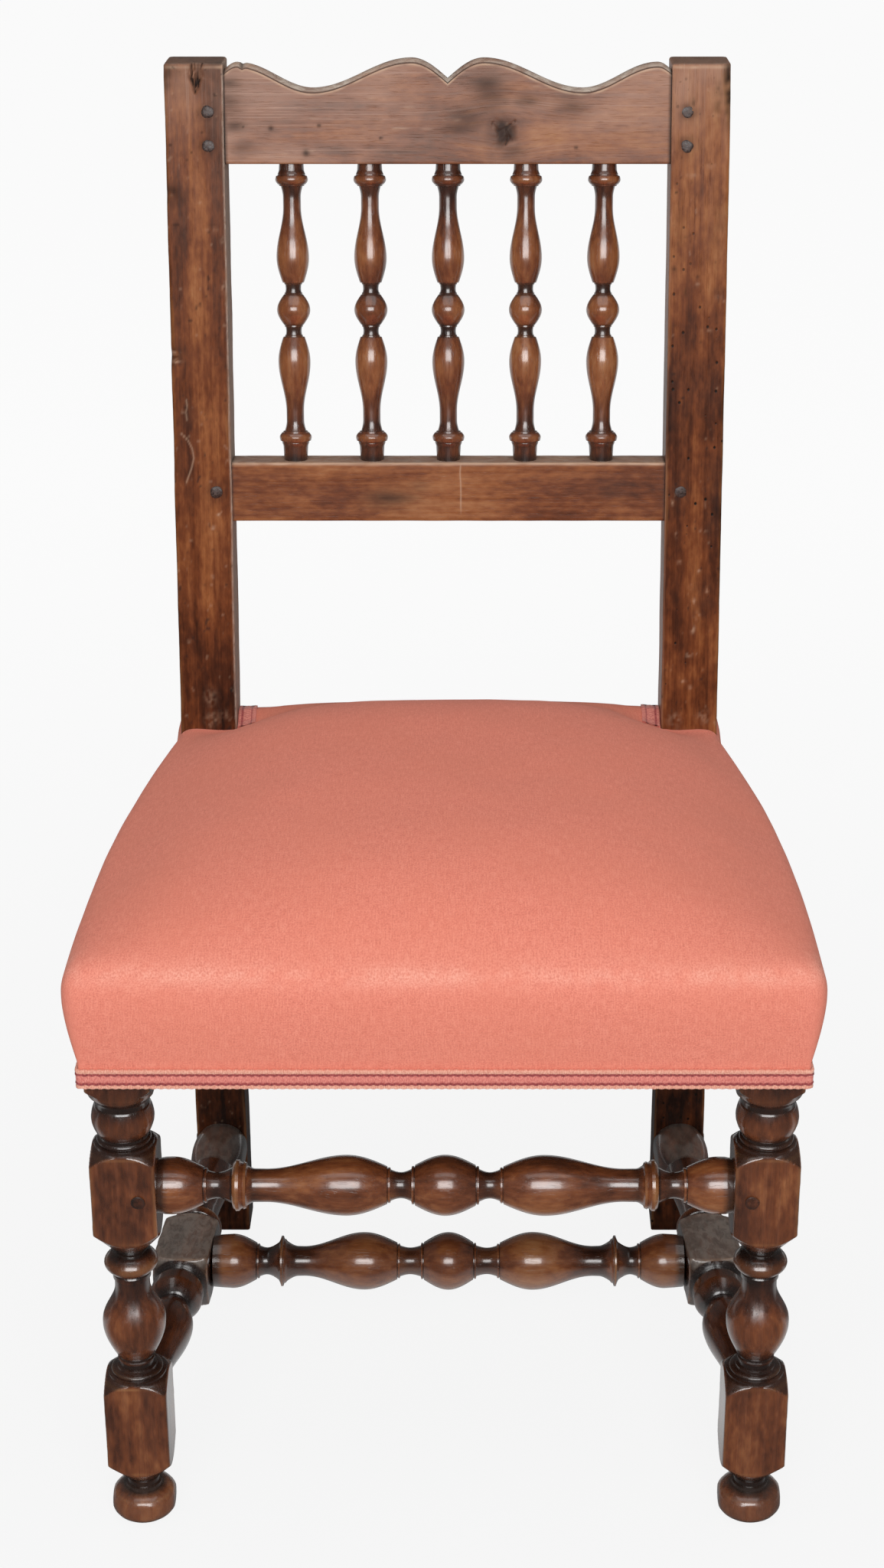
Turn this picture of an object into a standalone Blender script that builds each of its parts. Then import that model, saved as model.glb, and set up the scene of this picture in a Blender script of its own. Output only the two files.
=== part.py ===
"""A turned and joined side chair: spindle back, H stretcher and an upholstered seat.

Metres, +Z up. The origin is on the floor below the middle of the chair's box and the front faces -Y.
Left and right are those of someone who looks at the front.
"""

import math

import bmesh
import bpy
from mathutils import Vector
from mathutils.bvhtree import BVHTree

MM = 0.001

# Whole chair
STILE_TOP = 950 * MM
FRONT_LEG_SPACING = 434 * MM
REAR_LEG_SPACING = 378 * MM
LEG_DEPTH_SPACING = 368 * MM
RAKE = math.radians(9)
RAKE_START = 333 * MM
BEND_REACH = 25 * MM
CLEARANCE = 0.3 * MM
WORN_EDGE = 1.2 * MM

# Rear legs and back frame, heights measured along the raked stiles from their bend
STILE_WIDTH = 44 * MM
STILE_DEPTH = 38 * MM
RAIL_SETBACK = 1.5 * MM
BACK_RAIL_THICKNESS = 26 * MM
LOWER_RAIL_BOTTOM = 283 * MM
LOWER_RAIL_HEIGHT = 45 * MM
CREST_BOTTOM = 552 * MM
CREST_HEIGHT = 75 * MM
SPINDLE_COUNT = 5
SPINDLE_PITCH = 59 * MM
SPINDLE_GIRTH = 24.8 * MM
SPINDLE_TENON_DIAMETER = 11 * MM
SPINDLE_TENON_LENGTH = 14 * MM

# Front legs and stretchers
LEG_BLOCK = 44 * MM
BLOCK_LENGTH = 68 * MM
BLOCK_SHOULDER = 10 * MM
TOP_BLOCK_DROP = 9 * MM
FRONT_STRETCHER_HEIGHT = 271 * MM
LOW_BLOCK_MIDDLE = 86.5 * MM
LOW_STRETCHER_HEIGHT = 82.5 * MM
FRONT_STRETCHER_GIRTH = 41 * MM
CROSS_STRETCHER_GIRTH = 44 * MM
SIDE_BLOCK = 42 * MM
SIDE_BLOCK_LENGTH = 72 * MM
CROSS_PATTERN = 0.965

# Joints
TENON_THICKNESS = 9 * MM
TENON_LENGTH = 21 * MM
TENON_ROOT = 8 * MM
TENON_EDGE = 8 * MM
STRETCHER_TENON_HEIGHT = 22 * MM
PEG_DIAMETER = 8.6 * MM
PEG_LENGTH = 26 * MM
PEG_PROUD = 1.2 * MM
PEG_SUNK = 1.4 * MM
PEG_INSET = 12 * MM
PEG_STAGGER = 9 * MM
PEG_HEAD = 0.74
PEG_POINT = 0.80
CREST_PEGS = (0.24, 0.70)
LOWER_RAIL_PEGS = (0.50,)

# Seat frame and upholstery
SEAT_RAIL_BOTTOM = 363 * MM
SEAT_RAIL_HEIGHT = 62 * MM
SEAT_RAIL_THICKNESS = 26 * MM
WEB_WIDTH = 60 * MM
WEB_THICKNESS = 1.5 * MM
WEB_PITCH = 105 * MM
WEB_EASE = 3 * MM
CLOTH_THICKNESS = 1.2 * MM
CLOTH_MARGIN = 5 * MM
COVER_THICKNESS = 2.2 * MM
COVER_BULGE = 6 * MM
REAR_BULGE = 1.5 * MM
SIDE_BOW = 7 * MM
SEAT_EDGE = 455 * MM
SEAT_ROLL = 22 * MM
SEAT_CROWN = 42 * MM
CROWN_FULLNESS_ACROSS = 3
CROWN_FULLNESS_ALONG = 4
TOP_CORNER = 22 * MM
FOLDED_CORNER = 2 * MM
GIMP_HEIGHT = 14 * MM
GIMP_THICKNESS = 1.8 * MM
STILE_GIMP_STEPS = 6
SWELL_LEVELS = (0.6, 1)
ROLL_ANGLES = (math.radians(22), math.radians(44), math.radians(62))
CROWN_RINGS = (0.90, 0.76, 0.52, 0.22)
SHARP_ANGLE = math.radians(45)

# Places that follow from the sizes above
SEAT_RAIL_TOP = SEAT_RAIL_BOTTOM + SEAT_RAIL_HEIGHT
SEAT_RAIL_MIDDLE = SEAT_RAIL_BOTTOM + SEAT_RAIL_HEIGHT / 2
COVER_GAP = CLEARANCE + COVER_THICKNESS
FRONT_REACH = LEG_BLOCK / 2 + COVER_GAP + COVER_BULGE
BACK_REACH = (STILE_TOP - RAKE_START) * math.tan(RAKE) + STILE_DEPTH / math.cos(RAKE)
FRONT_Y = (FRONT_REACH - LEG_DEPTH_SPACING - BACK_REACH) / 2
REAR_Y = FRONT_Y + LEG_DEPTH_SPACING
FRONT_X = FRONT_LEG_SPACING / 2
REAR_X = REAR_LEG_SPACING / 2
BACK_SPAN = REAR_LEG_SPACING - STILE_WIDTH
SPINDLE_LENGTH = CREST_BOTTOM - LOWER_RAIL_BOTTOM - LOWER_RAIL_HEIGHT
RAIL_MIDDLE = RAIL_SETBACK + BACK_RAIL_THICKNESS / 2

# Faces round a turning, and steps along each kind of curve
SPINDLE_SIDES = 10
TURNING_SIDES = 12
PEG_SIDES = 8

# A peg's heading: its local Z turned to point into the wood
INTO_BACK = (-math.pi / 2, 0, 0)
INTO_FRONT = (math.pi / 2, 0, 0)
INTO_RIGHT = (0, math.pi / 2, 0)
INTO_LEFT = (0, -math.pi / 2, 0)
UPWARDS = (0, 0, 0)
SIDES = (("left", -1), ("right", 1))


def straight(t):
    return t


def ogee(t):
    return (1 - math.cos(math.pi * t)) / 2


def settle(t):
    """Leaves steeply and arrives level, as the flank of a bead does below its crown."""
    return math.sin(math.pi * t / 2)


def plunge(t):
    """Leaves level and arrives steeply, as a bead does past its crown."""
    return 1 - math.cos(math.pi * t / 2)


CURVE_STEPS = {straight: 1, ogee: 3, settle: 2, plunge: 2}

# Turned outlines: share of the length, share of the girth, and the curve from the point before
SPINDLE_HALF = (
    (0.000, 1.00, straight),
    (0.130, 0.48, plunge),
    (0.345, 1.00, settle),
    (0.715, 0.52, ogee),
    (0.765, 0.52, straight),
    (0.855, 0.86, plunge),
    (0.886, 0.98, straight),
    (0.922, 0.73, straight),
    (1.000, 0.72, straight),
)
STRETCHER_HALF = (
    (0.000, 1.00, straight),
    (0.132, 0.48, plunge),
    (0.172, 0.48, straight),
    (0.360, 1.00, settle),
    (0.627, 0.55, ogee),
    (0.665, 0.55, straight),
    (0.710, 0.75, plunge),
    (0.727, 0.86, straight),
    (0.750, 0.70, straight),
    (0.757, 0.42, straight),
    (0.805, 0.40, straight),
    (0.812, 0.58, straight),
    (0.950, 0.95, settle),
    (1.000, 0.90, straight),
)
SIDE_FRONT = (
    (0.00, 0.62, straight),
    (0.12, 0.62, straight),
    (0.20, 0.56, straight),
    (0.64, 0.97, ogee),
    (0.85, 0.60, plunge),
    (0.88, 0.84, straight),
    (0.915, 0.93, straight),
    (0.95, 0.84, straight),
    (0.965, 0.70, straight),
    (1.00, 0.94, straight),
)
SIDE_REAR = (
    (0.00, 0.94, straight),
    (0.035, 0.70, straight),
    (0.05, 0.84, straight),
    (0.085, 0.93, straight),
    (0.12, 0.84, straight),
    (0.15, 0.66, straight),
    (0.24, 0.64, straight),
    (0.86, 0.97, ogee),
    (1.00, 0.86, plunge),
)
LEG_FOOT = (
    (0.00, 0.62, straight),
    (0.25, 0.97, settle),
    (0.55, 0.70, plunge),
    (0.66, 0.66, straight),
    (0.84, 0.70, straight),
    (0.93, 0.82, straight),
    (1.00, 0.90, straight),
)
LEG_MIDDLE = (
    (0.000, 0.90, straight),
    (0.035, 0.88, straight),
    (0.065, 0.62, straight),
    (0.110, 0.56, straight),
    (0.363, 0.97, settle),
    (0.620, 0.54, ogee),
    (0.660, 0.54, straight),
    (0.740, 0.78, plunge),
    (0.765, 0.84, straight),
    (0.790, 0.78, straight),
    (0.840, 0.55, settle),
    (0.900, 0.55, straight),
    (0.960, 0.74, straight),
    (1.000, 0.90, straight),
)
LEG_TOP = (
    (0.00, 0.92, straight),
    (0.06, 0.92, straight),
    (0.10, 0.80, straight),
    (0.14, 0.80, straight),
    (0.44, 0.97, settle),
    (0.75, 0.82, plunge),
    (0.80, 0.82, straight),
    (0.88, 0.92, straight),
    (1.00, 0.94, straight),
)
# Half of the crest's upper edge: share of the half span, share of the crest's height, curve
CREST_HALF = (
    (0.000, 0.81, straight),
    (0.162, 1.00, settle),
    (0.605, 0.72, ogee),
    (0.940, 0.96, ogee),
    (1.000, 0.89, plunge),
)
# The turned shoulder of a square block runs out past its corners
PAST_CORNER = 1.5


def stile_front(height):
    """Y of the raked front face of the stiles at a height above their bend."""
    return REAR_Y + (height - RAKE_START) * math.tan(RAKE)


def stile_back(height):
    return stile_front(height) + STILE_DEPTH / math.cos(RAKE)


def side_outer_x(y):
    """X of the outer face of a side rail, from the back of the front leg to the front of the stile."""
    leg_back = FRONT_Y + LEG_BLOCK / 2
    stile_face = stile_front(SEAT_RAIL_MIDDLE)
    share = min(max((y - leg_back) / (stile_face - leg_back), 0), 1)
    front, rear = FRONT_X + LEG_BLOCK / 2, REAR_X + STILE_WIDTH / 2
    return front + (rear - front) * share


def clear_scene():
    for item in list(bpy.data.objects):
        bpy.data.objects.remove(item, do_unlink=True)


def material(name, colour, roughness):
    made = bpy.data.materials.new(name)
    made.use_nodes = True
    shader = made.node_tree.nodes["Principled BSDF"]
    shader.inputs["Base Color"].default_value = (*colour, 1)
    shader.inputs["Roughness"].default_value = roughness
    shader.inputs["Metallic"].default_value = 0
    return made


def make_materials():
    return {
        "walnut": material("walnut", (0.150, 0.046, 0.018), 0.32),
        "peg_wood": material("peg_wood", (0.050, 0.020, 0.011), 0.45),
        "rail_wood": material("rail_wood", (0.300, 0.170, 0.080), 0.65),
        "cover_cloth": material("cover_cloth", (0.560, 0.170, 0.130), 0.90),
        "gimp_braid": material("gimp_braid", (0.400, 0.080, 0.075), 0.80),
        "web_jute": material("web_jute", (0.420, 0.300, 0.160), 0.90),
        "base_linen": material("base_linen", (0.480, 0.370, 0.220), 0.90),
        "stuffing_fibre": material("stuffing_fibre", (0.250, 0.160, 0.090), 0.95),
        "dust_cloth": material("dust_cloth", (0.020, 0.019, 0.018), 0.90),
    }


def add_object(name, mesh, finish=None, parent=None, location=(0, 0, 0), rotation=(0, 0, 0)):
    item = bpy.data.objects.new(name, mesh)
    bpy.context.scene.collection.objects.link(item)
    item.location = location
    item.rotation_euler = rotation
    item.parent = parent
    if finish:
        mesh.materials.append(finish)
    return item


def mesh_from(name, vertices, faces, triangles=False):
    mesh = bpy.data.meshes.new(name)
    mesh.from_pydata([tuple(v) for v in vertices], [], faces)
    shell = bmesh.new()
    shell.from_mesh(mesh)
    bmesh.ops.recalc_face_normals(shell, faces=shell.faces)
    if triangles:
        bmesh.ops.triangulate(shell, faces=shell.faces)
    shell.to_mesh(mesh)
    shell.free()
    return mesh


def box_mesh(name, size):
    shell = bmesh.new()
    bmesh.ops.create_cube(shell, size=1)
    bmesh.ops.scale(shell, vec=size, verts=shell.verts)
    mesh = bpy.data.meshes.new(name)
    shell.to_mesh(mesh)
    shell.free()
    return mesh


def prism_mesh(name, outline, depth):
    """A flat outline of 3-D points pushed along a vector."""
    count = len(outline)
    vertices = [Vector(p) for p in outline]
    vertices += [p + Vector(depth) for p in vertices]
    faces = [tuple(range(count)), tuple(range(2 * count - 1, count - 1, -1))]
    for i in range(count):
        j = (i + 1) % count
        faces.append((i, j, count + j, count + i))
    return mesh_from(name, vertices, faces)


def stacked_mesh(name, rings, triangles=False):
    """A closed skin through rings of equally many points, with a flat cap on the first and the last."""
    count = len(rings[0])
    vertices = [p for ring in rings for p in ring]
    faces = [tuple(range(count))]
    for level in range(len(rings) - 1):
        low, high = level * count, (level + 1) * count
        for i in range(count):
            j = (i + 1) % count
            faces.append((low + i, low + j, high + j, high + i))
    last = (len(rings) - 1) * count
    faces.append(tuple(range(last, last + count)))
    return mesh_from(name, vertices, faces, triangles)


def lathe_mesh(name, outline, sides):
    """A solid turned about Z, from (height, diameter) points listed upwards."""
    rings = []
    for height, diameter in outline:
        turns = (2 * math.pi * i / sides for i in range(sides))
        rings.append([(diameter / 2 * math.cos(a), diameter / 2 * math.sin(a), height) for a in turns])
    mesh = stacked_mesh(name, rings)
    mesh.shade_smooth()
    mesh.set_sharp_from_angle(angle=SHARP_ANGLE)
    return mesh


def follow(outline, length, girth, start=0):
    """(distance, size) points along an outline of shares, with its curves stepped out."""
    points = [(start + outline[0][0] * length, outline[0][1] * girth)]
    for (past, old, _), (share, size, curve) in zip(outline, outline[1:]):
        steps = CURVE_STEPS[curve]
        for t in (i / steps for i in range(1, steps + 1)):
            distance = past + (share - past) * t
            points.append((start + distance * length, (old + (size - old) * curve(t)) * girth))
    return points


def mirrored(half):
    """A half outline from the middle outwards, made whole about its middle."""
    return [(-distance, size) for distance, size in reversed(half[1:])] + half


def block_outline(start, end, width):
    """The turned shoulders of a square block, which the sides of the billet then cut flat."""
    return [
        (start, width),
        (start + BLOCK_SHOULDER, PAST_CORNER * width),
        (end - BLOCK_SHOULDER, PAST_CORNER * width),
        (end, width),
    ]


def billet_mesh(name, width, low, high):
    """A square bar about Z with its long edges worn off."""
    half, inner = width / 2, width / 2 - WORN_EDGE
    corners = []
    for sx, sy in ((1, 1), (-1, 1), (-1, -1), (1, -1)):
        pair = [(sx * half, sy * inner, low), (sx * inner, sy * half, low)]
        corners += pair if sx * sy > 0 else pair[::-1]
    return prism_mesh(name, corners, (0, 0, high - low))


def combine(target, tool, operation):
    tool.hide_render = True
    tool.display_type = "WIRE"
    change = target.modifiers.new(operation.lower(), "BOOLEAN")
    change.operation = operation
    change.solver = "EXACT"
    change.object = tool


def cut_box(target, size, location, rotation=(0, 0, 0), parent=None):
    name = f"cut_{target.name}_{len(target.modifiers)}"
    tool = add_object(name, box_mesh(name, size), None, parent, location, rotation)
    combine(target, tool, "DIFFERENCE")


def wear_edges(target):
    change = target.modifiers.new("worn_edges", "BEVEL")
    change.width = WORN_EDGE
    change.segments = 1
    change.limit_method = "ANGLE"


def mortise_and_tenon(rail, post, shoulder, heading, height, parent=None):
    """Grows a tenon out of rail into a mortise in post. The heading turns +Y about Z to its way in."""
    into = Vector((-math.sin(heading), math.cos(heading), 0))
    turn = (0, 0, heading)
    name = f"tenon_{rail.name}_{post.name}"
    long = TENON_LENGTH + TENON_ROOT
    middle = Vector(shoulder) + into * (TENON_LENGTH - TENON_ROOT) / 2
    size = (TENON_THICKNESS, long, height)
    combine(rail, add_object(name, box_mesh(name, size), None, parent, middle, turn), "UNION")
    deep = TENON_LENGTH + 2 * CLEARANCE + TENON_ROOT
    size = (TENON_THICKNESS + 2 * CLEARANCE, deep, height + 2 * CLEARANCE)
    middle = Vector(shoulder) + into * (TENON_LENGTH + 2 * CLEARANCE - TENON_ROOT) / 2
    cut_box(post, size, middle, turn, parent)


def add_peg(name, place, heading, pinned, finish, parent=None, proud=PEG_PROUD):
    """A tapered wooden pin driven through the pieces it pins, its head standing a little proud."""
    outline = [
        (-proud, PEG_HEAD * PEG_DIAMETER),
        (-proud + PEG_PROUD / 2, PEG_DIAMETER),
        (PEG_LENGTH, PEG_POINT * PEG_DIAMETER),
    ]
    add_object(name, lathe_mesh(name, outline, PEG_SIDES), finish, parent, place, heading)
    bore = PEG_DIAMETER + 2 * CLEARANCE
    for piece in pinned:
        tool = f"hole_{name}_{piece.name}"
        hole = lathe_mesh(tool, [(-PEG_INSET, bore), (PEG_LENGTH + CLEARANCE, bore)], PEG_SIDES)
        combine(piece, add_object(tool, hole, None, parent, place, heading), "DIFFERENCE")


def add_back_frame():
    """The raked plane of the back: X across, Z up along the stiles, Y = 0 on their front faces."""
    frame = bpy.data.objects.new("back_frame", None)
    bpy.context.scene.collection.objects.link(frame)
    frame.location = (0, REAR_Y, RAKE_START)
    frame.rotation_euler = (-RAKE, 0, 0)
    return frame


def bend(corner, slope):
    """Three points that round a stile's bend at a corner given as (y, z)."""
    y, z = corner
    low = (y, z - BEND_REACH)
    high = (y + BEND_REACH * math.sin(slope), z + BEND_REACH * math.cos(slope))
    middle = ((low[0] + 2 * y + high[0]) / 4, (low[1] + 2 * z + high[1]) / 4)
    return [low, middle, high]


def add_stile(side, sign, finish):
    back_bend = RAKE_START - STILE_DEPTH * math.tan(RAKE / 2)
    front = [(REAR_Y, 0), *bend((REAR_Y, RAKE_START), RAKE), (stile_front(STILE_TOP), STILE_TOP)]
    back = [(REAR_Y + STILE_DEPTH, 0), *bend((REAR_Y + STILE_DEPTH, back_bend), RAKE)]
    back.append((stile_back(STILE_TOP), STILE_TOP))
    left_face = sign * REAR_X - STILE_WIDTH / 2
    outline = [(left_face, y, z) for y, z in front + back[::-1]]
    name = f"stile_{side}"
    stile = add_object(name, prism_mesh(name, outline, (STILE_WIDTH, 0, 0)), finish)
    wear_edges(stile)
    return stile


def add_crest_rail(finish, frame):
    half_span = BACK_SPAN / 2 - CLEARANCE
    top = mirrored(follow(CREST_HALF, half_span, CREST_HEIGHT))
    edge = [(half_span, 0), (-half_span, 0)] + top
    outline = [(x, RAIL_SETBACK, CREST_BOTTOM + z) for x, z in edge]
    mesh = prism_mesh("crest_rail", outline, (0, BACK_RAIL_THICKNESS, 0))
    crest = add_object("crest_rail", mesh, finish, frame)
    wear_edges(crest)
    return crest


def add_lower_back_rail(finish, frame):
    size = (BACK_SPAN - 2 * CLEARANCE, BACK_RAIL_THICKNESS, LOWER_RAIL_HEIGHT)
    place = (0, RAIL_MIDDLE, LOWER_RAIL_BOTTOM + LOWER_RAIL_HEIGHT / 2)
    rail = add_object("lower_back_rail", box_mesh("lower_back_rail", size), finish, frame, place)
    wear_edges(rail)
    return rail


def add_spindles(finish, frame, crest, rail):
    """Baluster spindles with round tenons that stop in blind holes in both rails."""
    visible = SPINDLE_LENGTH / 2 - CLEARANCE
    tenon_end = SPINDLE_LENGTH / 2 + SPINDLE_TENON_LENGTH
    half = follow(SPINDLE_HALF, visible, SPINDLE_GIRTH)
    half += [(visible, SPINDLE_TENON_DIAMETER), (tenon_end, SPINDLE_TENON_DIAMETER)]
    bore = SPINDLE_TENON_DIAMETER + 2 * CLEARANCE
    reach = tenon_end + CLEARANCE
    middle = LOWER_RAIL_BOTTOM + LOWER_RAIL_HEIGHT + SPINDLE_LENGTH / 2
    for i in range(SPINDLE_COUNT):
        place = ((i - (SPINDLE_COUNT - 1) / 2) * SPINDLE_PITCH, RAIL_MIDDLE, middle)
        name = f"spindle_{i + 1}"
        mesh = lathe_mesh(name, mirrored(half), SPINDLE_SIDES)
        add_object(name, mesh, finish, frame, place)
        tool = lathe_mesh(f"hole_{name}", [(-reach, bore), (reach, bore)], SPINDLE_SIDES)
        for target in (crest, rail):
            combine(target, add_object(f"hole_{name}", tool, None, frame, place), "DIFFERENCE")


def join_back(stiles, crest, rail, finish, frame):
    """Pegged mortise-and-tenon joints of both back rails."""
    crest_straight = CREST_HEIGHT * min(share for _, share, _ in CREST_HALF)
    for side, sign in SIDES:
        stile = stiles[side]
        face = sign * BACK_SPAN / 2
        heading = -sign * math.pi / 2
        rails = (
            ("crest", crest, CREST_BOTTOM, crest_straight, CREST_PEGS),
            ("lower_rail", rail, LOWER_RAIL_BOTTOM, LOWER_RAIL_HEIGHT, LOWER_RAIL_PEGS),
        )
        for label, piece, bottom, height, peg_shares in rails:
            shoulder = (face, RAIL_MIDDLE, bottom + height / 2)
            mortise_and_tenon(piece, stile, shoulder, heading, height - TENON_EDGE, frame)
            for number, share in enumerate(peg_shares, 1):
                count = f"_{number}" if len(peg_shares) > 1 else ""
                place = (face + sign * PEG_INSET, 0, bottom + share * height)
                pinned = (stile, piece)
                add_peg(f"{label}_peg_{side}{count}", place, INTO_BACK, pinned, finish, frame)


def leg_outline():
    """(height, diameter) of a front leg: bun foot, block, vase and ring, block, ball and top block."""
    low_start = LOW_BLOCK_MIDDLE - BLOCK_LENGTH / 2
    low_end = low_start + BLOCK_LENGTH
    high_start = FRONT_STRETCHER_HEIGHT - BLOCK_LENGTH / 2
    high_end = high_start + BLOCK_LENGTH
    top_start = SEAT_RAIL_BOTTOM - TOP_BLOCK_DROP
    top_block = block_outline(top_start, SEAT_RAIL_TOP, LEG_BLOCK)[:2]
    return (
        follow(LEG_FOOT, low_start, LEG_BLOCK)
        + block_outline(low_start, low_end, LEG_BLOCK)
        + follow(LEG_MIDDLE, high_start - low_end, LEG_BLOCK, low_end)
        + block_outline(high_start, high_end, LEG_BLOCK)
        + follow(LEG_TOP, top_start - high_end, LEG_BLOCK, high_end)
        + top_block
        + [(SEAT_RAIL_TOP, PAST_CORNER * LEG_BLOCK)]
    )


def add_front_leg(side, sign, finish):
    name = f"front_leg_{side}"
    place = (sign * FRONT_X, FRONT_Y, 0)
    leg = add_object(name, lathe_mesh(name, leg_outline(), TURNING_SIDES), finish, None, place)
    billet = billet_mesh(f"billet_{name}", LEG_BLOCK, -LEG_BLOCK, SEAT_RAIL_TOP + LEG_BLOCK)
    combine(leg, add_object(f"billet_{name}", billet, None, None, place), "INTERSECT")
    return leg


def stretcher_outline(half_length, girth):
    return mirrored(follow(STRETCHER_HALF, half_length, girth))


def add_front_stretcher(legs, finish, peg_finish):
    half = FRONT_X - LEG_BLOCK / 2
    outline = stretcher_outline(half - CLEARANCE, FRONT_STRETCHER_GIRTH)
    mesh = lathe_mesh("front_stretcher", outline, TURNING_SIDES)
    place = (0, FRONT_Y, FRONT_STRETCHER_HEIGHT)
    stretcher = add_object("front_stretcher", mesh, finish, None, place, INTO_RIGHT)
    for side, sign in SIDES:
        shoulder = (sign * half, FRONT_Y, FRONT_STRETCHER_HEIGHT)
        heading = -sign * math.pi / 2
        mortise_and_tenon(stretcher, legs[side], shoulder, heading, STRETCHER_TENON_HEIGHT)
        peg_place = (sign * (half + PEG_INSET), FRONT_Y - LEG_BLOCK / 2, FRONT_STRETCHER_HEIGHT)
        pinned = (legs[side], stretcher)
        add_peg(f"front_stretcher_peg_{side}", peg_place, INTO_BACK, pinned, peg_finish)


def side_line(sign):
    """Start, end and heading of a side stretcher's axis, from the front leg to the rear leg."""
    start = Vector((sign * FRONT_X, FRONT_Y, LOW_STRETCHER_HEIGHT))
    end = Vector((sign * REAR_X, REAR_Y + STILE_DEPTH / 2, LOW_STRETCHER_HEIGHT))
    heading = math.atan2(start.x - end.x, end.y - start.y)
    return start, end, heading


def add_side_stretcher(side, sign, leg, stile, finish, peg_finish):
    """A turned bar with a square block in its middle, its ends cut to the leg and stile it meets."""
    start, end, heading = side_line(sign)
    slope = math.cos(heading)
    front_face = LEG_BLOCK / 2 / slope
    rear_face = LEG_DEPTH_SPACING / slope
    block_start = (front_face + rear_face - SIDE_BLOCK_LENGTH) / 2
    block_end = block_start + SIDE_BLOCK_LENGTH
    outline = (
        follow(SIDE_FRONT, block_start - front_face, SIDE_BLOCK, front_face)
        + block_outline(block_start, block_end, SIDE_BLOCK)
        + follow(SIDE_REAR, rear_face - block_end, SIDE_BLOCK, block_end)
    )
    outline[0] = (front_face - TENON_ROOT, outline[0][1])
    outline[-1] = (rear_face + TENON_ROOT, outline[-1][1])
    name = f"side_stretcher_{side}"
    turn = (-math.pi / 2, 0, heading)
    mesh = lathe_mesh(name, outline, TURNING_SIDES)
    stretcher = add_object(name, mesh, finish, None, start, turn)
    billet = billet_mesh(f"billet_{name}", SIDE_BLOCK, 0, end.y - start.y)
    combine(stretcher, add_object(f"billet_{name}", billet, None, None, start, turn), "INTERSECT")
    trim = LEG_BLOCK + 2 * CLEARANCE
    cut_box(stretcher, (2 * trim, trim, 2 * trim), start)
    rear_trim = STILE_DEPTH + 2 * CLEARANCE
    cut_box(stretcher, (2 * trim, rear_trim, 2 * trim), end)
    along = (end - start).normalized()
    joints = (
        ("front", leg, start + along * front_face, heading + math.pi),
        ("rear", stile, start + along * rear_face, heading),
    )
    for label, post, shoulder, way in joints:
        mortise_and_tenon(stretcher, post, shoulder, way, STRETCHER_TENON_HEIGHT)
        into = Vector((-math.sin(way), math.cos(way), 0))
        outer = FRONT_X + LEG_BLOCK / 2 if label == "front" else REAR_X + STILE_WIDTH / 2
        peg_place = shoulder + into * PEG_INSET
        peg_place.x = sign * outer
        inwards = INTO_LEFT if sign > 0 else INTO_RIGHT
        add_peg(f"side_stretcher_peg_{side}_{label}", peg_place, inwards, (post, stretcher), peg_finish)
    return stretcher


def add_cross_stretcher(side_stretchers, finish, peg_finish):
    """The bar of the H, cut at its ends to the slanting faces of the side stretchers' blocks."""
    front = FRONT_Y + LEG_BLOCK / 2
    middle_y = (front + REAR_Y) / 2
    start, end, heading = side_line(1)
    middle_x = start.x + (end.x - start.x) * (middle_y - start.y) / (end.y - start.y)
    half = middle_x - SIDE_BLOCK / 2 / math.cos(heading)
    outline = stretcher_outline(half * CROSS_PATTERN, CROSS_STRETCHER_GIRTH)
    outline[0] = (-half - TENON_ROOT, outline[0][1])
    outline[-1] = (half + TENON_ROOT, outline[-1][1])
    mesh = lathe_mesh("cross_stretcher", outline, TURNING_SIDES)
    place = (0, middle_y, LOW_STRETCHER_HEIGHT)
    stretcher = add_object("cross_stretcher", mesh, finish, None, place, INTO_RIGHT)
    for side, sign in SIDES:
        block = side_stretchers[side]
        size = (SIDE_BLOCK + 2 * CLEARANCE, SIDE_BLOCK_LENGTH, 2 * SIDE_BLOCK)
        turn = (0, 0, sign * heading)
        cut_box(stretcher, size, (sign * middle_x, middle_y, LOW_STRETCHER_HEIGHT), turn)
        shoulder = (sign * half, middle_y, LOW_STRETCHER_HEIGHT)
        way = -sign * math.pi / 2
        mortise_and_tenon(stretcher, block, shoulder, way, STRETCHER_TENON_HEIGHT)
        peg_place = (sign * (half + PEG_INSET), middle_y, LOW_STRETCHER_HEIGHT - SIDE_BLOCK / 2)
        add_peg(f"cross_stretcher_peg_{side}", peg_place, UPWARDS, (block, stretcher), peg_finish)


def add_end_rail(name, span, front_face, finish):
    """A seat rail that runs across the chair, its outer or inner face at front_face."""
    size = (span - 2 * CLEARANCE, SEAT_RAIL_THICKNESS, SEAT_RAIL_HEIGHT)
    place = (0, front_face + SEAT_RAIL_THICKNESS / 2, SEAT_RAIL_MIDDLE)
    return add_object(name, box_mesh(name, size), finish, None, place)


def add_side_rail(side, sign, finish):
    """A seat rail that narrows the chair to the rear, its end cut to the rake of the stile."""
    front = FRONT_Y + LEG_BLOCK / 2 + CLEARANCE
    rings = []
    for height in (SEAT_RAIL_BOTTOM, SEAT_RAIL_TOP):
        rear = stile_front(height) - CLEARANCE
        ring = []
        thick = SEAT_RAIL_THICKNESS
        for y, inset in ((front, 0), (rear, 0), (rear, thick), (front, thick)):
            ring.append((sign * (side_outer_x(y) - inset), y, height))
        rings.append(ring)
    name = f"seat_rail_{side}"
    return add_object(name, stacked_mesh(name, rings), finish)


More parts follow.
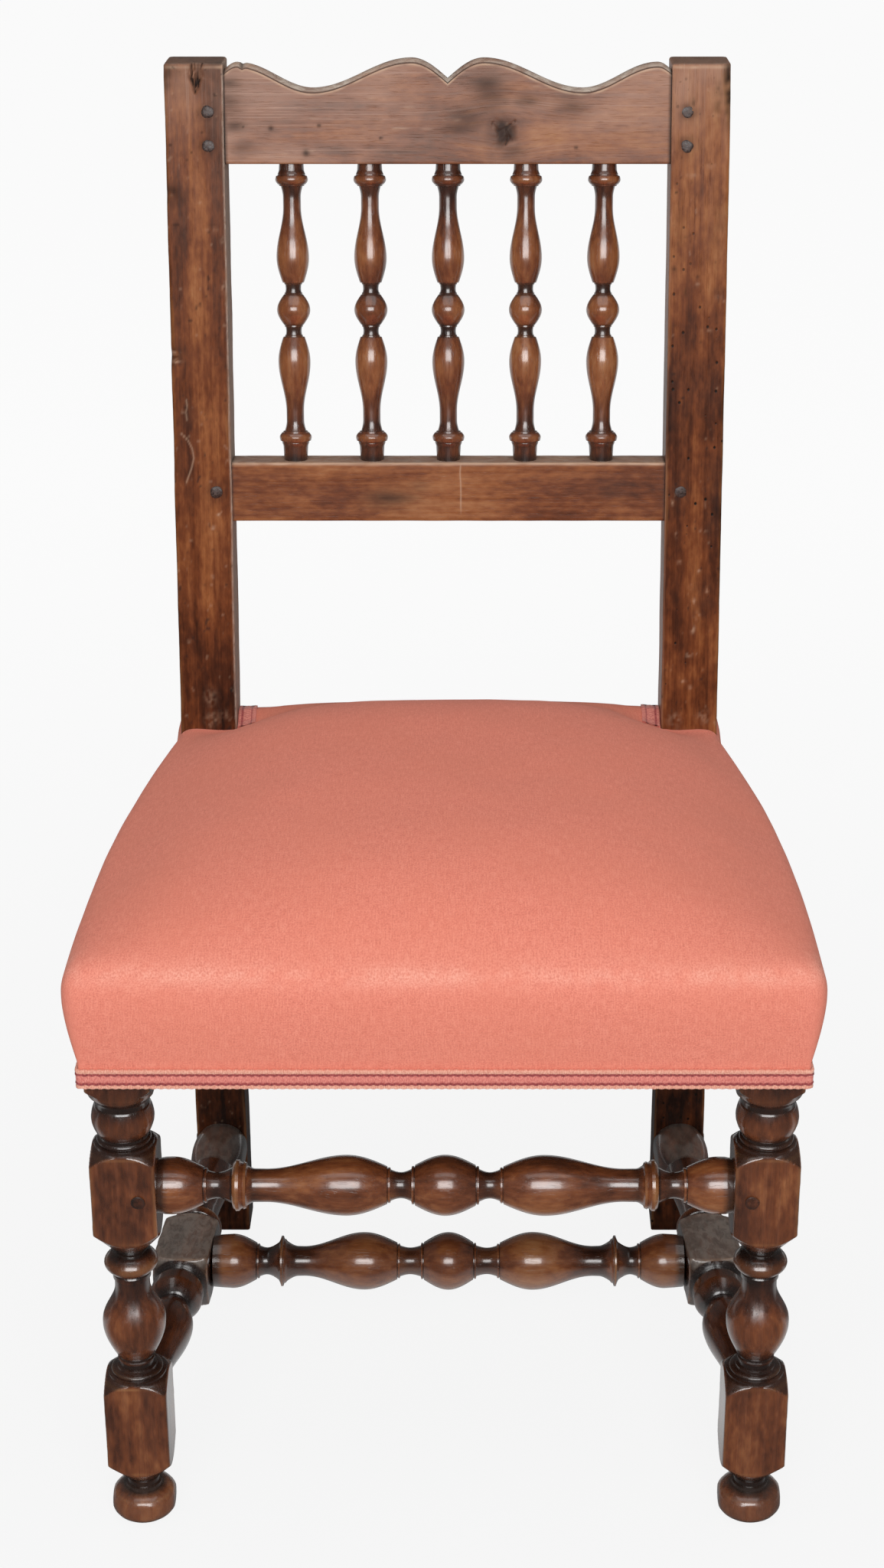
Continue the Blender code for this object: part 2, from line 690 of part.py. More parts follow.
def add_seat_frame(legs, stiles, finish, peg_finish):
    """Four rails, each tenoned and pegged at both ends, the pegs sawn flush below the cloth."""
    middle = SEAT_RAIL_MIDDLE
    tenon = SEAT_RAIL_HEIGHT - 2 * TENON_EDGE
    half_rail = SEAT_RAIL_THICKNESS / 2
    front_span = FRONT_LEG_SPACING - LEG_BLOCK
    front_face = FRONT_Y - LEG_BLOCK / 2
    back_face = stile_back(SEAT_RAIL_BOTTOM) - SEAT_RAIL_THICKNESS
    front = add_end_rail("seat_rail_front", front_span, front_face, finish)
    back = add_end_rail("seat_rail_back", BACK_SPAN, back_face, finish)
    peg_low, peg_high = middle - PEG_STAGGER, middle + PEG_STAGGER
    for side, sign in SIDES:
        rail = add_side_rail(side, sign, finish)
        leg, stile = legs[side], stiles[side]
        across = -sign * math.pi / 2
        shoulder = (sign * front_span / 2, front_face + half_rail, middle)
        mortise_and_tenon(front, leg, shoulder, across, tenon)
        shoulder = (sign * BACK_SPAN / 2, back_face + half_rail, middle)
        mortise_and_tenon(back, stile, shoulder, across, tenon)
        leg_rear = FRONT_Y + LEG_BLOCK / 2
        stile_face = stile_front(middle)
        shoulder = (sign * (FRONT_X + LEG_BLOCK / 2 - half_rail), leg_rear, middle)
        mortise_and_tenon(rail, leg, shoulder, math.pi, tenon)
        shoulder = (sign * (REAR_X + STILE_WIDTH / 2 - half_rail), stile_face, middle)
        mortise_and_tenon(rail, stile, shoulder, 0, tenon)
        inwards = INTO_LEFT if sign > 0 else INTO_RIGHT
        peg_x = sign * (front_span / 2 + PEG_INSET)
        leg_outer, stile_outer = sign * (FRONT_X + LEG_BLOCK / 2), sign * (REAR_X + STILE_WIDTH / 2)
        back_peg_x = sign * (BACK_SPAN / 2 + PEG_INSET)
        pegs = (
            ("front", (peg_x, front_face, peg_low), INTO_BACK, (leg, front)),
            ("back", (back_peg_x, stile_back(peg_low), peg_low), INTO_FRONT, (stile, back)),
            ("side_front", (leg_outer, leg_rear - PEG_INSET, peg_high), inwards, (leg, rail)),
            ("side_rear", (stile_outer, stile_face + PEG_INSET, peg_high), inwards, (stile, rail)),
        )
        for label, place, heading, pinned in pegs:
            add_peg(f"seat_peg_{side}_{label}", place, heading, pinned, peg_finish, proud=-PEG_SUNK)
    return back_face


def strap_mesh(name, along, across, width, runs):
    """A flat strap through (distance, height of its middle) runs along one axis."""
    rings = []
    for distance, height in runs:
        ring = []
        for side, level in ((-1, -1), (1, -1), (1, 1), (-1, 1)):
            point = along * distance + across * (side * width / 2)
            point.z = height + level * WEB_THICKNESS / 2
            ring.append(point)
        rings.append(ring)
    return stacked_mesh(name, rings)


def weave_runs(start, end, crossings, first_over):
    """Heights of a strap that passes over and under those it crosses, and ends on the rails."""
    rise = (WEB_THICKNESS + CLEARANCE) / 2
    middle = SEAT_RAIL_TOP + CLEARANCE + WEB_THICKNESS / 2 + rise
    reach = WEB_WIDTH / 2 + WEB_EASE
    runs = [(start, middle - rise)]
    over = first_over
    for crossing in crossings:
        height = middle + rise if over else middle - rise
        runs += [(crossing - reach, height), (crossing + reach, height)]
        over = not over
    return runs + [(end, middle - rise)]


def add_webbing(back_face, finish):
    """Six jute straps woven over and under each other and tacked on top of the rails."""
    front_edge = FRONT_Y - LEG_BLOCK / 2
    offsets = (-WEB_PITCH, 0, WEB_PITCH)
    middle_y = (front_edge + back_face + SEAT_RAIL_THICKNESS) / 2
    x_axis, y_axis = Vector((1, 0, 0)), Vector((0, 1, 0))
    rows = [middle_y + offset for offset in offsets]
    for i, x in enumerate(offsets):
        ends = (front_edge + CLOTH_MARGIN, back_face + SEAT_RAIL_THICKNESS - CLOTH_MARGIN)
        runs = weave_runs(*ends, rows, i % 2 == 0)
        name = f"web_strap_long_{i + 1}"
        strap = add_object(name, strap_mesh(name, y_axis, x_axis, WEB_WIDTH, runs), finish)
        strap.location.x = x
    for i, y in enumerate(rows):
        end = side_outer_x(y + WEB_WIDTH / 2) - CLOTH_MARGIN
        runs = weave_runs(-end, end, offsets, i % 2 == 1)
        name = f"web_strap_cross_{i + 1}"
        strap = add_object(name, strap_mesh(name, x_axis, y_axis, WEB_WIDTH, runs), finish)
        strap.location.y = y


def cloth_mesh(name, right_half, bottom):
    """A flat cloth from the right half of its outline, listed from the front to the back."""
    points = right_half + [(-x, y) for x, y in reversed(right_half)]
    return prism_mesh(name, [(x, y, bottom) for x, y in points], (0, 0, CLOTH_THICKNESS))


def add_base_cloth(back_face, finish):
    """The linen over the webbing, which carries the stuffing. Returns its upper face's height."""
    bottom = SEAT_RAIL_TOP + 3 * CLEARANCE + 2 * WEB_THICKNESS
    front = FRONT_Y - LEG_BLOCK / 2 + CLOTH_MARGIN
    stop = stile_front(SEAT_RAIL_BOTTOM) - CLOTH_MARGIN
    back = back_face + SEAT_RAIL_THICKNESS - CLOTH_MARGIN
    inner = BACK_SPAN / 2 - CLOTH_MARGIN
    right_half = [
        (side_outer_x(front) - CLOTH_MARGIN, front),
        (side_outer_x(stop) - CLOTH_MARGIN, stop),
        (inner, stop),
        (inner, back),
    ]
    add_object("base_cloth", cloth_mesh("base_cloth", right_half, bottom), finish)
    return bottom + CLOTH_THICKNESS


def add_dust_cover(back_face, finish):
    """The black cloth tacked below the rails, cut round the four legs."""
    bottom = SEAT_RAIL_BOTTOM - CLEARANCE - CLOTH_THICKNESS
    front = FRONT_Y - LEG_BLOCK / 2 + CLOTH_MARGIN
    behind_leg = FRONT_Y + LEG_BLOCK / 2 + CLOTH_MARGIN
    stop = REAR_Y - CLOTH_MARGIN
    back = back_face + SEAT_RAIL_THICKNESS - CLOTH_MARGIN
    beside_leg = FRONT_X - LEG_BLOCK / 2 - CLOTH_MARGIN
    inner = BACK_SPAN / 2 - CLOTH_MARGIN
    right_half = [
        (beside_leg, front),
        (beside_leg, behind_leg),
        (side_outer_x(behind_leg) - CLOTH_MARGIN, behind_leg),
        (side_outer_x(stop) - CLOTH_MARGIN, stop),
        (inner, stop),
        (inner, back),
    ]
    add_object("dust_cover", cloth_mesh("dust_cover", right_half, bottom), finish)


def rounded_corner(before, corner, after, radius, steps):
    """Points of a curve that cuts a corner between its two neighbours, or the corner itself."""
    start = corner + (before - corner).normalized() * radius
    end = corner + (after - corner).normalized() * radius
    if not radius:
        return [corner]
    points = []
    for t in (i / steps for i in range(steps + 1)):
        points.append(start * (1 - t) ** 2 + corner * 2 * t * (1 - t) + end * t**2)
    return points


def seat_outline(height, swell, grow):
    """The seat's plan at a height. It runs straight past the front legs, narrows to the rear and passes
    outside the stiles. Its sides swell from 0 to 1 of the bulge and bow out, and its front corners round
    off with them."""
    bulge, rear_bulge, bow = COVER_BULGE * swell, REAR_BULGE * swell, SIDE_BOW * swell
    reach = COVER_GAP + grow
    front_x = FRONT_X + LEG_BLOCK / 2 + reach + bulge
    rear_x = REAR_X + STILE_WIDTH / 2 + reach + rear_bulge
    front_y = FRONT_Y - LEG_BLOCK / 2 - reach - bulge
    back_y = stile_back(height) + reach + rear_bulge
    leg_back, stile_face = FRONT_Y + LEG_BLOCK / 2, stile_front(SEAT_RAIL_MIDDLE)
    front_corner = FOLDED_CORNER + (TOP_CORNER - FOLDED_CORNER) * swell
    # Corners from the front left round to the left again: X, Y, radius, steps round it, then the steps
    # and the bow along X of the edge that follows
    plan = (
        (-front_x, front_y, front_corner, 4, 6, 0),
        (front_x, front_y, front_corner, 4, 1, 0),
        (front_x, leg_back, 0, 0, 5, bow),
        (rear_x, stile_face, 0, 0, 1, 0),
        (rear_x, back_y, FOLDED_CORNER, 1, 5, 0),
        (-rear_x, back_y, FOLDED_CORNER, 1, 1, 0),
        (-rear_x, stile_face, 0, 0, 5, -bow),
        (-front_x, leg_back, 0, 0, 1, 0),
    )
    corners = [Vector((x, y, height)) for x, y, *_ in plan]
    curves = []
    for i, (_, _, radius, steps, _, _) in enumerate(plan):
        after = corners[(i + 1) % len(plan)]
        curves.append(rounded_corner(corners[i - 1], corners[i], after, radius, steps))
    points = []
    for i, (*_, steps, out) in enumerate(plan):
        stop = curves[(i + 1) % len(plan)][0]
        points += curves[i]
        for share in (step / steps for step in range(1, steps)):
            point = curves[i][-1].lerp(stop, share)
            point.x += out * math.sin(math.pi * share)
            points.append(point)
    return points


def crown_rise(x, y):
    """Rise of the crowned top over its edge: nearly flat in the middle and steeper towards the sides."""
    front, back = FRONT_Y - LEG_BLOCK / 2, stile_back(SEAT_EDGE)
    across = min(abs(x) / side_outer_x(y), 1)
    along = min(abs(2 * y - front - back) / (back - front), 1)
    fall = across**CROWN_FULLNESS_ACROSS + along**CROWN_FULLNESS_ALONG
    return SEAT_CROWN * max(1 - fall, 0)


def seat_form_mesh(name, bottom, grow=0):
    """The seat's form grown by a thickness: upright at the braid, swelling, rolled over and crowned."""
    straight_top = SEAT_RAIL_BOTTOM + GIMP_HEIGHT + GIMP_THICKNESS
    roll_start = SEAT_EDGE - SEAT_ROLL
    rings = []
    if bottom < straight_top:
        rings = [seat_outline(bottom, 0, grow), seat_outline(straight_top, 0, grow)]
    for share in SWELL_LEVELS:
        height = straight_top + (roll_start - straight_top) * share
        if height > bottom:
            rings.append(seat_outline(height, math.sin(math.pi / 2 * share), grow))
    for angle in ROLL_ANGLES:
        height = roll_start + (SEAT_ROLL + grow) * math.sin(angle)
        inset = SEAT_ROLL * (1 - math.cos(angle))
        rings.append(seat_outline(height, 1, grow * math.cos(angle) - inset))
    edge = rings[-1]
    middle = Vector((0, (FRONT_Y + REAR_Y) / 2, edge[0].z))
    for share in CROWN_RINGS:
        ring = [middle.lerp(point, share) for point in edge]
        rings.append([point + Vector((0, 0, crown_rise(point.x, point.y))) for point in ring])
    mesh = stacked_mesh(name, rings, triangles=True)
    mesh.shade_smooth()
    mesh.set_sharp_from_angle(angle=SHARP_ANGLE)
    return mesh


def cut_stiles(target, gap, outwards):
    """Clears the stiles out of a seat piece, and what lies outside them if outwards reaches past it."""
    height = SEAT_EDGE - SEAT_RAIL_BOTTOM
    long = 3 * height
    for sign in (-1, 1):
        inner = REAR_X - STILE_WIDTH / 2 - gap
        outer = REAR_X + STILE_WIDTH / 2 + outwards
        deep = STILE_DEPTH + gap + outwards
        size = (outer - inner, deep, long)
        place = (sign * (inner + outer) / 2, (outwards - gap + STILE_DEPTH) / 2, SEAT_EDGE - RAKE_START)
        cut_box(target, size, place, (0, 0, 0), bpy.data.objects["back_frame"])


def add_stuffing(bottom, finish):
    grow = -COVER_THICKNESS - CLEARANCE
    mesh = seat_form_mesh("seat_stuffing", bottom, grow)
    stuffing = add_object("seat_stuffing", mesh, finish)
    cut_stiles(stuffing, CLOTH_MARGIN, STILE_WIDTH)


def add_seat_cover(finish):
    """One cloth over the stuffing and round the rails, slit where the stiles come up through it.
    Returns its outer surface, before the slits."""
    form = seat_form_mesh("seat_cover", SEAT_RAIL_BOTTOM)
    cover = add_object("seat_cover", form, finish)
    name = "cut_seat_cover_inside"
    inside = seat_form_mesh(name, SEAT_RAIL_BOTTOM - SEAT_ROLL, -COVER_THICKNESS)
    combine(cover, add_object(name, inside), "DIFFERENCE")
    cut_stiles(cover, CLEARANCE, CLEARANCE)
    corners = [vertex.co for vertex in form.vertices]
    return BVHTree.FromPolygons(corners, [tuple(face.vertices) for face in form.polygons])


def add_seat_gimp(finish):
    """The braid round the lower edge of the cover."""
    levels = (SEAT_RAIL_BOTTOM, SEAT_RAIL_BOTTOM + GIMP_HEIGHT)
    inner = [seat_outline(z, 0, CLEARANCE) for z in levels]
    outer = [seat_outline(z, 0, CLEARANCE + GIMP_THICKNESS) for z in levels]
    loops = [inner[0], outer[0], outer[1], inner[1]]
    count = len(inner[0])
    faces = []
    for level in range(4):
        low, high = level * count, (level + 1) % 4 * count
        for i in range(count):
            j = (i + 1) % count
            faces.append((low + i, low + j, high + j, high + i))
    mesh = mesh_from("seat_gimp", [p for loop in loops for p in loop], faces)
    add_object("seat_gimp", mesh, finish)


def add_stile_gimp(side, sign, surface, finish):
    """The short braid that lies on the cover beside a stile and hides the slit there."""
    start = stile_front(SEAT_EDGE)
    end = stile_back(SEAT_EDGE) - SEAT_ROLL / 2
    edge = BACK_SPAN / 2 - CLEARANCE
    rings = []
    for step in range(STILE_GIMP_STEPS + 1):
        y = start + (end - start) * step / STILE_GIMP_STEPS
        ring = []
        wide, thick = GIMP_HEIGHT, GIMP_THICKNESS
        for inset, lift in ((0, 0), (wide, 0), (wide, thick), (0, thick)):
            above = Vector((sign * (edge - inset), y, STILE_TOP))
            hit = surface.ray_cast(above, Vector((0, 0, -1)))[0]
            ring.append(hit + Vector((0, 0, CLEARANCE + lift)))
        rings.append(ring)
    name = f"stile_gimp_{side}"
    add_object(name, stacked_mesh(name, rings, triangles=True), finish)


def main():
    clear_scene()
    finish = make_materials()
    walnut, peg_wood = finish["walnut"], finish["peg_wood"]
    frame = add_back_frame()
    stiles = {side: add_stile(side, sign, walnut) for side, sign in SIDES}
    crest = add_crest_rail(walnut, frame)
    rail = add_lower_back_rail(walnut, frame)
    join_back(stiles, crest, rail, peg_wood, frame)
    add_spindles(walnut, frame, crest, rail)
    legs = {side: add_front_leg(side, sign, walnut) for side, sign in SIDES}
    add_front_stretcher(legs, walnut, peg_wood)
    side_stretchers = {}
    for side, sign in SIDES:
        made = add_side_stretcher(side, sign, legs[side], stiles[side], walnut, peg_wood)
        side_stretchers[side] = made
    add_cross_stretcher(side_stretchers, walnut, peg_wood)
    back_face = add_seat_frame(legs, stiles, finish["rail_wood"], peg_wood)
    add_webbing(back_face, finish["web_jute"])
    stuffing_bottom = add_base_cloth(back_face, finish["base_linen"]) + CLEARANCE
    add_stuffing(stuffing_bottom, finish["stuffing_fibre"])
    surface = add_seat_cover(finish["cover_cloth"])
    add_seat_gimp(finish["gimp_braid"])
    for side, sign in SIDES:
        add_stile_gimp(side, sign, surface, finish["gimp_braid"])
    add_dust_cover(back_face, finish["dust_cloth"])


main()
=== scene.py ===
"""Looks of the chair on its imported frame: worn walnut, pegs, wool cover, braid and the cloths below.

Every piece is built here in metres, in the frame of the CAD model, and replaces the CAD node that its
name starts with. Only the braid's two cords are added to what is there. Turned pieces are built about
their own Z axis, which is also the run of their grain.
"""
import math

import bmesh
import bpy
import numpy as np
from mathutils import Euler, Matrix, Vector, noise
from mathutils.bvhtree import BVHTree


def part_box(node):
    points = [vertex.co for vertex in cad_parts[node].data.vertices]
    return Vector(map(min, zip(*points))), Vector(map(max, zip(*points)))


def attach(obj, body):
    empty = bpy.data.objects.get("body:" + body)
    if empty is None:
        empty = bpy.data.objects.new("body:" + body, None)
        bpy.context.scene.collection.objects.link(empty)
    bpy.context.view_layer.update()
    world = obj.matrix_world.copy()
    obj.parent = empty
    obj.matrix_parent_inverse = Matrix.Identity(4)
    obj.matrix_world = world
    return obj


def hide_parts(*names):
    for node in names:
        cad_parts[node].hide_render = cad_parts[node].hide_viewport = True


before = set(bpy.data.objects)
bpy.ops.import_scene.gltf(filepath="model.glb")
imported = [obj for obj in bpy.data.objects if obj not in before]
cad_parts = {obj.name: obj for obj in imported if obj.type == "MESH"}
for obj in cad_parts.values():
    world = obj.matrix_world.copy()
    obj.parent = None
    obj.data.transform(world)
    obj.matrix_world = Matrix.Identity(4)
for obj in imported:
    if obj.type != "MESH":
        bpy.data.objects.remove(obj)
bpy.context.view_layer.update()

MM = 0.001
TAU = 2 * math.pi
SIDES = (("left", -1), ("right", 1))

# Places read from the frame
LEG_BOX = [Vector(corner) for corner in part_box("front_leg_right")]
STILE_BOX = [Vector(corner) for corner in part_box("stile_right")]
FRONT_X, FRONT_Y, _ = (LEG_BOX[0] + LEG_BOX[1]) / 2
REAR_X = (STILE_BOX[0].x + STILE_BOX[1].x) / 2
REAR_Y = STILE_BOX[0].y
STILE_TOP = STILE_BOX[1].z
STILE_WIDTH = STILE_BOX[1].x - STILE_BOX[0].x
LEG_BLOCK = LEG_BOX[1].x - LEG_BOX[0].x

# Sizes of the frame that its boxes do not give
STILE_DEPTH = 38 * MM
RAKE = math.radians(9)
RAKE_START = 333 * MM
BEND_REACH = 25 * MM
CLEARANCE = 0.3 * MM
BACK_RAIL_THICKNESS = 26 * MM
RAIL_SETBACK = 1.5 * MM
CREST_BOTTOM, CREST_HEIGHT = 552 * MM, 77.4 * MM
LOWER_RAIL_BOTTOM, LOWER_RAIL_HEIGHT = 283 * MM, 45 * MM
SPINDLE_COUNT, SPINDLE_PITCH, SPINDLE_LIFT = 5, 59 * MM, 3.4 * MM
FRONT_STRETCHER_HEIGHT, LOW_STRETCHER_HEIGHT = 271 * MM, 82.5 * MM
SIDE_BLOCK = 42 * MM
PEG_HEAD, PEG_INSET = 9.8 * MM, 12 * MM
SEAT_RAIL_BOTTOM, SEAT_RAIL_MIDDLE, SEAT_EDGE = 363 * MM, 394 * MM, 455 * MM
SEAT_ROLL, SEAT_CROWN = 22 * MM, 42 * MM
GIMP_HEIGHT, GIMP_THICKNESS, GIMP_DROP = 14 * MM, 1.8 * MM, 2.2 * MM
COVER_THICKNESS = 2.2 * MM

BACK_HALF_SPAN = REAR_X - STILE_WIDTH / 2 - CLEARANCE
BACK_FRAME = Matrix.Translation((0, REAR_Y, RAKE_START)) @ Matrix.Rotation(-RAKE, 4, "X")


# Curves

def ease(t):
    return (1 - np.cos(np.pi * t)) / 2


def rise(t):
    """Steep at first and level at the end, as a turning runs up to its fullest place."""
    return np.sin(np.pi * t / 2)


def fall(t):
    """Level at first and steep at the end, as a turning leaves its fullest place."""
    return 1 - np.cos(np.pi * t / 2)


def line(t):
    return t


def bell(distance, reach):
    return np.exp(-((distance / reach) ** 2))


def clamp01(value):
    return np.clip(value, 0, 1)


def noise_at(points, scale, seed=0.0):
    """Smooth noise from -1 to 1 at an array of points."""
    flat = (np.asarray(points, float) * scale + seed * 17.3).reshape(-1, 3)
    values = np.fromiter((noise.noise(Vector(p)) for p in flat), float, len(flat))
    return values.reshape(np.shape(points)[:-1])


# Mesh helpers

# Edges that turn more than this stay crisp
CRISP_ANGLE = math.radians(38)
# Towards the ends of a piece its relief fades out over this length
RELIEF_FADE = 8 * MM


def skin_faces(rows, columns, first=0):
    """Quads between closed rings of points that follow one another."""
    ring = np.arange(columns)
    after = np.roll(ring, -1)
    faces = []
    for row in range(rows - 1):
        low, high = first + row * columns, first + (row + 1) * columns
        faces += np.stack([low + ring, low + after, high + after, high + ring], 1).tolist()
    return faces


def fan_faces(ring, centre, inward):
    pairs = zip(ring, ring[1:] + ring[:1])
    return [(b, a, centre) if inward else (a, b, centre) for a, b in pairs]


def loft(rings):
    """A closed skin through an array of rings (row, point, xyz), with a fan of faces on each end."""
    rows, columns, _ = rings.shape
    points = rings.reshape(-1, 3)
    count = len(points)
    points = np.vstack([points, rings[0].mean(0), rings[-1].mean(0)])
    faces = skin_faces(rows, columns)
    faces += fan_faces(list(range(columns)), count, True)
    faces += fan_faces(list(range(count - columns, count)), count + 1, False)
    return points, faces


def with_ends(values):
    """A field over rings made as long as the points of loft, whose two ends take their ring's mean."""
    return np.concatenate([values.ravel(), [values[0].mean(), values[-1].mean()]])


def new_mesh(name, points, faces):
    mesh = bpy.data.meshes.new(name)
    mesh.from_pydata(np.asarray(points).tolist(), [], faces)
    shell = bmesh.new()
    shell.from_mesh(mesh)
    bmesh.ops.recalc_face_normals(shell, faces=shell.faces)
    shell.to_mesh(mesh)
    shell.free()
    mesh.shade_smooth()
    mesh.set_sharp_from_angle(angle=CRISP_ANGLE)
    return mesh


def set_field(mesh, name, values):
    """Stores one number or one vector for each vertex, for the materials to read."""
    values = np.asarray(values, float)
    if values.ndim == 2:
        mesh.attributes.new(name, "FLOAT_VECTOR", "POINT").data.foreach_set("vector", values.ravel())
    else:
        mesh.attributes.new(name, "FLOAT", "POINT").data.foreach_set("value", values)


def coordinates(mesh):
    values = np.empty(len(mesh.vertices) * 3)
    mesh.vertices.foreach_get("co", values)
    return values.reshape(-1, 3)


def store_relief(mesh, run, passes=36):
    """Stores in millimetres how far each vertex stands out of the skin around it; hollows are negative."""
    points = coordinates(mesh)
    normals = np.empty(len(points) * 3)
    mesh.vertices.foreach_get("normal", normals)
    edges = np.empty(len(mesh.edges) * 2, int)
    mesh.edges.foreach_get("vertices", edges)
    a, b = edges.reshape(-1, 2).T
    count = np.bincount(np.concatenate([a, b]), minlength=len(points))
    smooth = points.copy()
    for _ in range(passes):
        for axis in range(3):
            values = smooth[:, axis]
            total = np.bincount(a, values[b], len(points)) + np.bincount(b, values[a], len(points))
            smooth[:, axis] = (values + total / count) / 2
    relief = ((points - smooth) * normals.reshape(-1, 3)).sum(1) / MM
    inside = np.minimum(run - run.min(), run.max() - run)
    set_field(mesh, "relief", relief * clamp01(inside / RELIEF_FADE - 0.4))


def add_piece(name, mesh, slot, nodes=(), place=None, finish=None):
    """Puts a finished mesh in the scene as a piece that rides on the chair and stands for CAD nodes."""
    piece = bpy.data.objects.new(name, mesh)
    bpy.context.scene.collection.objects.link(piece)
    if place is not None:
        piece.matrix_world = place
    mesh.materials.append(MATERIALS[finish or slot])
    bpy.context.view_layer.update()
    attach(piece, "root")
    if nodes:
        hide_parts(*nodes)
    return piece


def add_wood(name, points, faces, seed, place=None, fields=None, grain=None, slot="walnut", finish=None):
    """A wooden piece with its grain, relief and marks stored on its vertices."""
    mesh = new_mesh(name, points, faces)
    run = np.asarray(points if grain is None else grain, float)
    if "relief" not in (fields or {}):
        store_relief(mesh, run[:, 2])
    set_field(mesh, "grain", run + np.array([0.31, 0.17, 1.7]) * seed)
    for field, values in (fields or {}).items():
        set_field(mesh, field, values)
    add_piece(name, mesh, slot, [name.removesuffix("_wood")], place, finish)


# Node trees

class Tree:
    """Short calls that add nodes to a material or a world and link them."""

    def __init__(self, name, kind="materials"):
        self.owner = getattr(bpy.data, kind).new(name)
        self.owner.use_nodes = True
        self.nodes = self.owner.node_tree.nodes
        self.links = self.owner.node_tree.links
        self.shader = self.nodes.get("Principled BSDF")

    def put(self, socket, value):
        if isinstance(value, bpy.types.NodeSocket):
            self.links.new(value, socket)
        elif isinstance(value, tuple) and len(value) == 3 and socket.type == "RGBA":
            socket.default_value = (*value, 1)
        else:
            socket.default_value = value

    def add(self, kind, inputs=None, **settings):
        node = self.nodes.new(kind)
        for key, value in settings.items():
            setattr(node, key, value)
        for key, value in (inputs or {}).items():
            self.put(node.inputs[key], value)
        return node

    def field(self, name, output="Fac"):
        return self.add("ShaderNodeAttribute", attribute_name=name).outputs[output]

    def place(self):
        return self.add("ShaderNodeTexCoord").outputs["Object"]

    def scaled(self, vector, scale):
        return self.add("ShaderNodeMapping", {"Vector": vector, "Scale": scale}).outputs["Vector"]

    def noise(self, vector, detail=3, distortion=0, roughness=0.5):
        inputs = {"Vector": vector, "Scale": 1, "Detail": detail, "Distortion": distortion}
        inputs["Roughness"] = roughness
        return self.add("ShaderNodeTexNoise", inputs).outputs["Fac"]

    def math(self, operation, a, b=0.0, clamp=False):
        node = self.add("ShaderNodeMath", {0: a, 1: b}, operation=operation, use_clamp=clamp)
        return node.outputs[0]

    def plus(self, a, b, clamp=False):
        return self.math("ADD", a, b, clamp)

    def times(self, a, b, clamp=False):
        return self.math("MULTIPLY", a, b, clamp)

    def swings(self, start, *parts):
        """Adds to a value the swing of each noise about its middle, times its weight."""
        total = start
        for value, weight in parts:
            total = self.plus(total, self.times(self.math("SUBTRACT", value, 0.5), weight))
        return total

    def span(self, value, low, high, to_low=0.0, to_high=1.0):
        """Takes low and high to the given ends, smoothly and without passing them."""
        inputs = {"Value": value, "From Min": low, "From Max": high, "To Min": to_low, "To Max": to_high}
        node = self.add("ShaderNodeMapRange", inputs, interpolation_type="SMOOTHSTEP")
        return node.outputs["Result"]

    def mix(self, share, a, b, blend="MIX"):
        node = self.add("ShaderNodeMix", data_type="RGBA", blend_type=blend)
        for index, value in ((0, share), (6, a), (7, b)):
            self.put(node.inputs[index], value)
        return node.outputs[2]

    def white(self, kind, strength):
        return self.add(kind, {"Color": (1, 1, 1), "Strength": strength}).outputs[0]

    def blend(self, share, a, b):
        return self.add("ShaderNodeMixShader", {0: share, 1: a, 2: b}).outputs[0]

    def ramp(self, share, *stops):
        node = self.add("ShaderNodeValToRGB", {"Fac": share})
        elements = node.color_ramp.elements
        while len(elements) < len(stops):
            elements.new(0.5)
        for element, (position, colour) in zip(elements, stops):
            element.position = position
            element.color = (*colour, 1)
        return node.outputs["Color"]

    def bump(self, height, distance, strength=1.0):
        inputs = {"Height": height, "Distance": distance, "Strength": strength}
        self.put(self.shader.inputs["Normal"], self.add("ShaderNodeBump", inputs).outputs["Normal"])

    def finish(self, **sockets):
        """Sets the shader's sockets, written with underscores for their spaces."""
        for key, value in sockets.items():
            self.put(self.shader.inputs[key.replace("_", " ")], value)
        return self.owner


# Materials

# Walnut from its darkest to its lightest wood, at shares of its tone
WALNUT_TONES = (
    (0.12, (0.018, 0.0070, 0.0045)),
    (0.34, (0.080, 0.0220, 0.0085)),
    (0.50, (0.165, 0.0460, 0.0150)),
    (0.66, (0.280, 0.0950, 0.0310)),
    (0.82, (0.380, 0.1600, 0.0620)),
)


def walnut_tone(t, grain, figure, cloud):
    """The wood's lights and darks from 0 to 1: clouds, bands and streaks along the grain, and mottling."""
    bands = t.noise(t.scaled(grain, (60, 60, 4)), 4, 0.8)
    streaks = t.noise(t.scaled(grain, (380, 380, 10)), 4, 0.3)
    clouds = t.noise(t.scaled(grain, (30, 30, 12)), 4, 0.5)
    mottle = t.noise(t.scaled(grain, (260, 260, 100)), 3)
    # The tone field holds the wood's own tone and also painted light and shade on the turnings and the
    # stiles
    start = t.plus(t.field("tone"), 0.5)
    tone = t.swings(start, (bands, 0.7 * figure), (streaks, 0.4 * figure), (clouds, cloud), (mottle, 0.4))
    return tone, streaks, clouds


def worm_holes(t, grain):
    """Small round holes in some of the cells of a cell pattern, where the piece is marked for them."""
    cells = t.add("ShaderNodeTexVoronoi", {"Vector": t.scaled(grain, (150, 150, 120)), "Scale": 1})
    hole = t.span(cells.outputs["Distance"], 0.20, 0.10)
    chosen = t.add("ShaderNodeSeparateColor", {"Color": cells.outputs["Color"]})
    hole = t.times(hole, t.span(chosen.outputs["Red"], 0.66, 0.70))
    return t.times(hole, t.field("worm"))


def walnut_haze(t, grain, clouds):
    """The pale bloom on old wax, streaked by fine scratches along the grain; on a stile's inner face its
    field holds a painted reflection.
    """
    scratches = t.span(t.noise(t.scaled(grain, (900, 900, 7)), 2), 0.58, 0.70)
    haze = t.times(t.field("bloom"), t.span(clouds, 0.35, 0.65, 0.65, 1))
    return t.plus(haze, t.times(t.times(scratches, haze), 0.8), clamp=True)


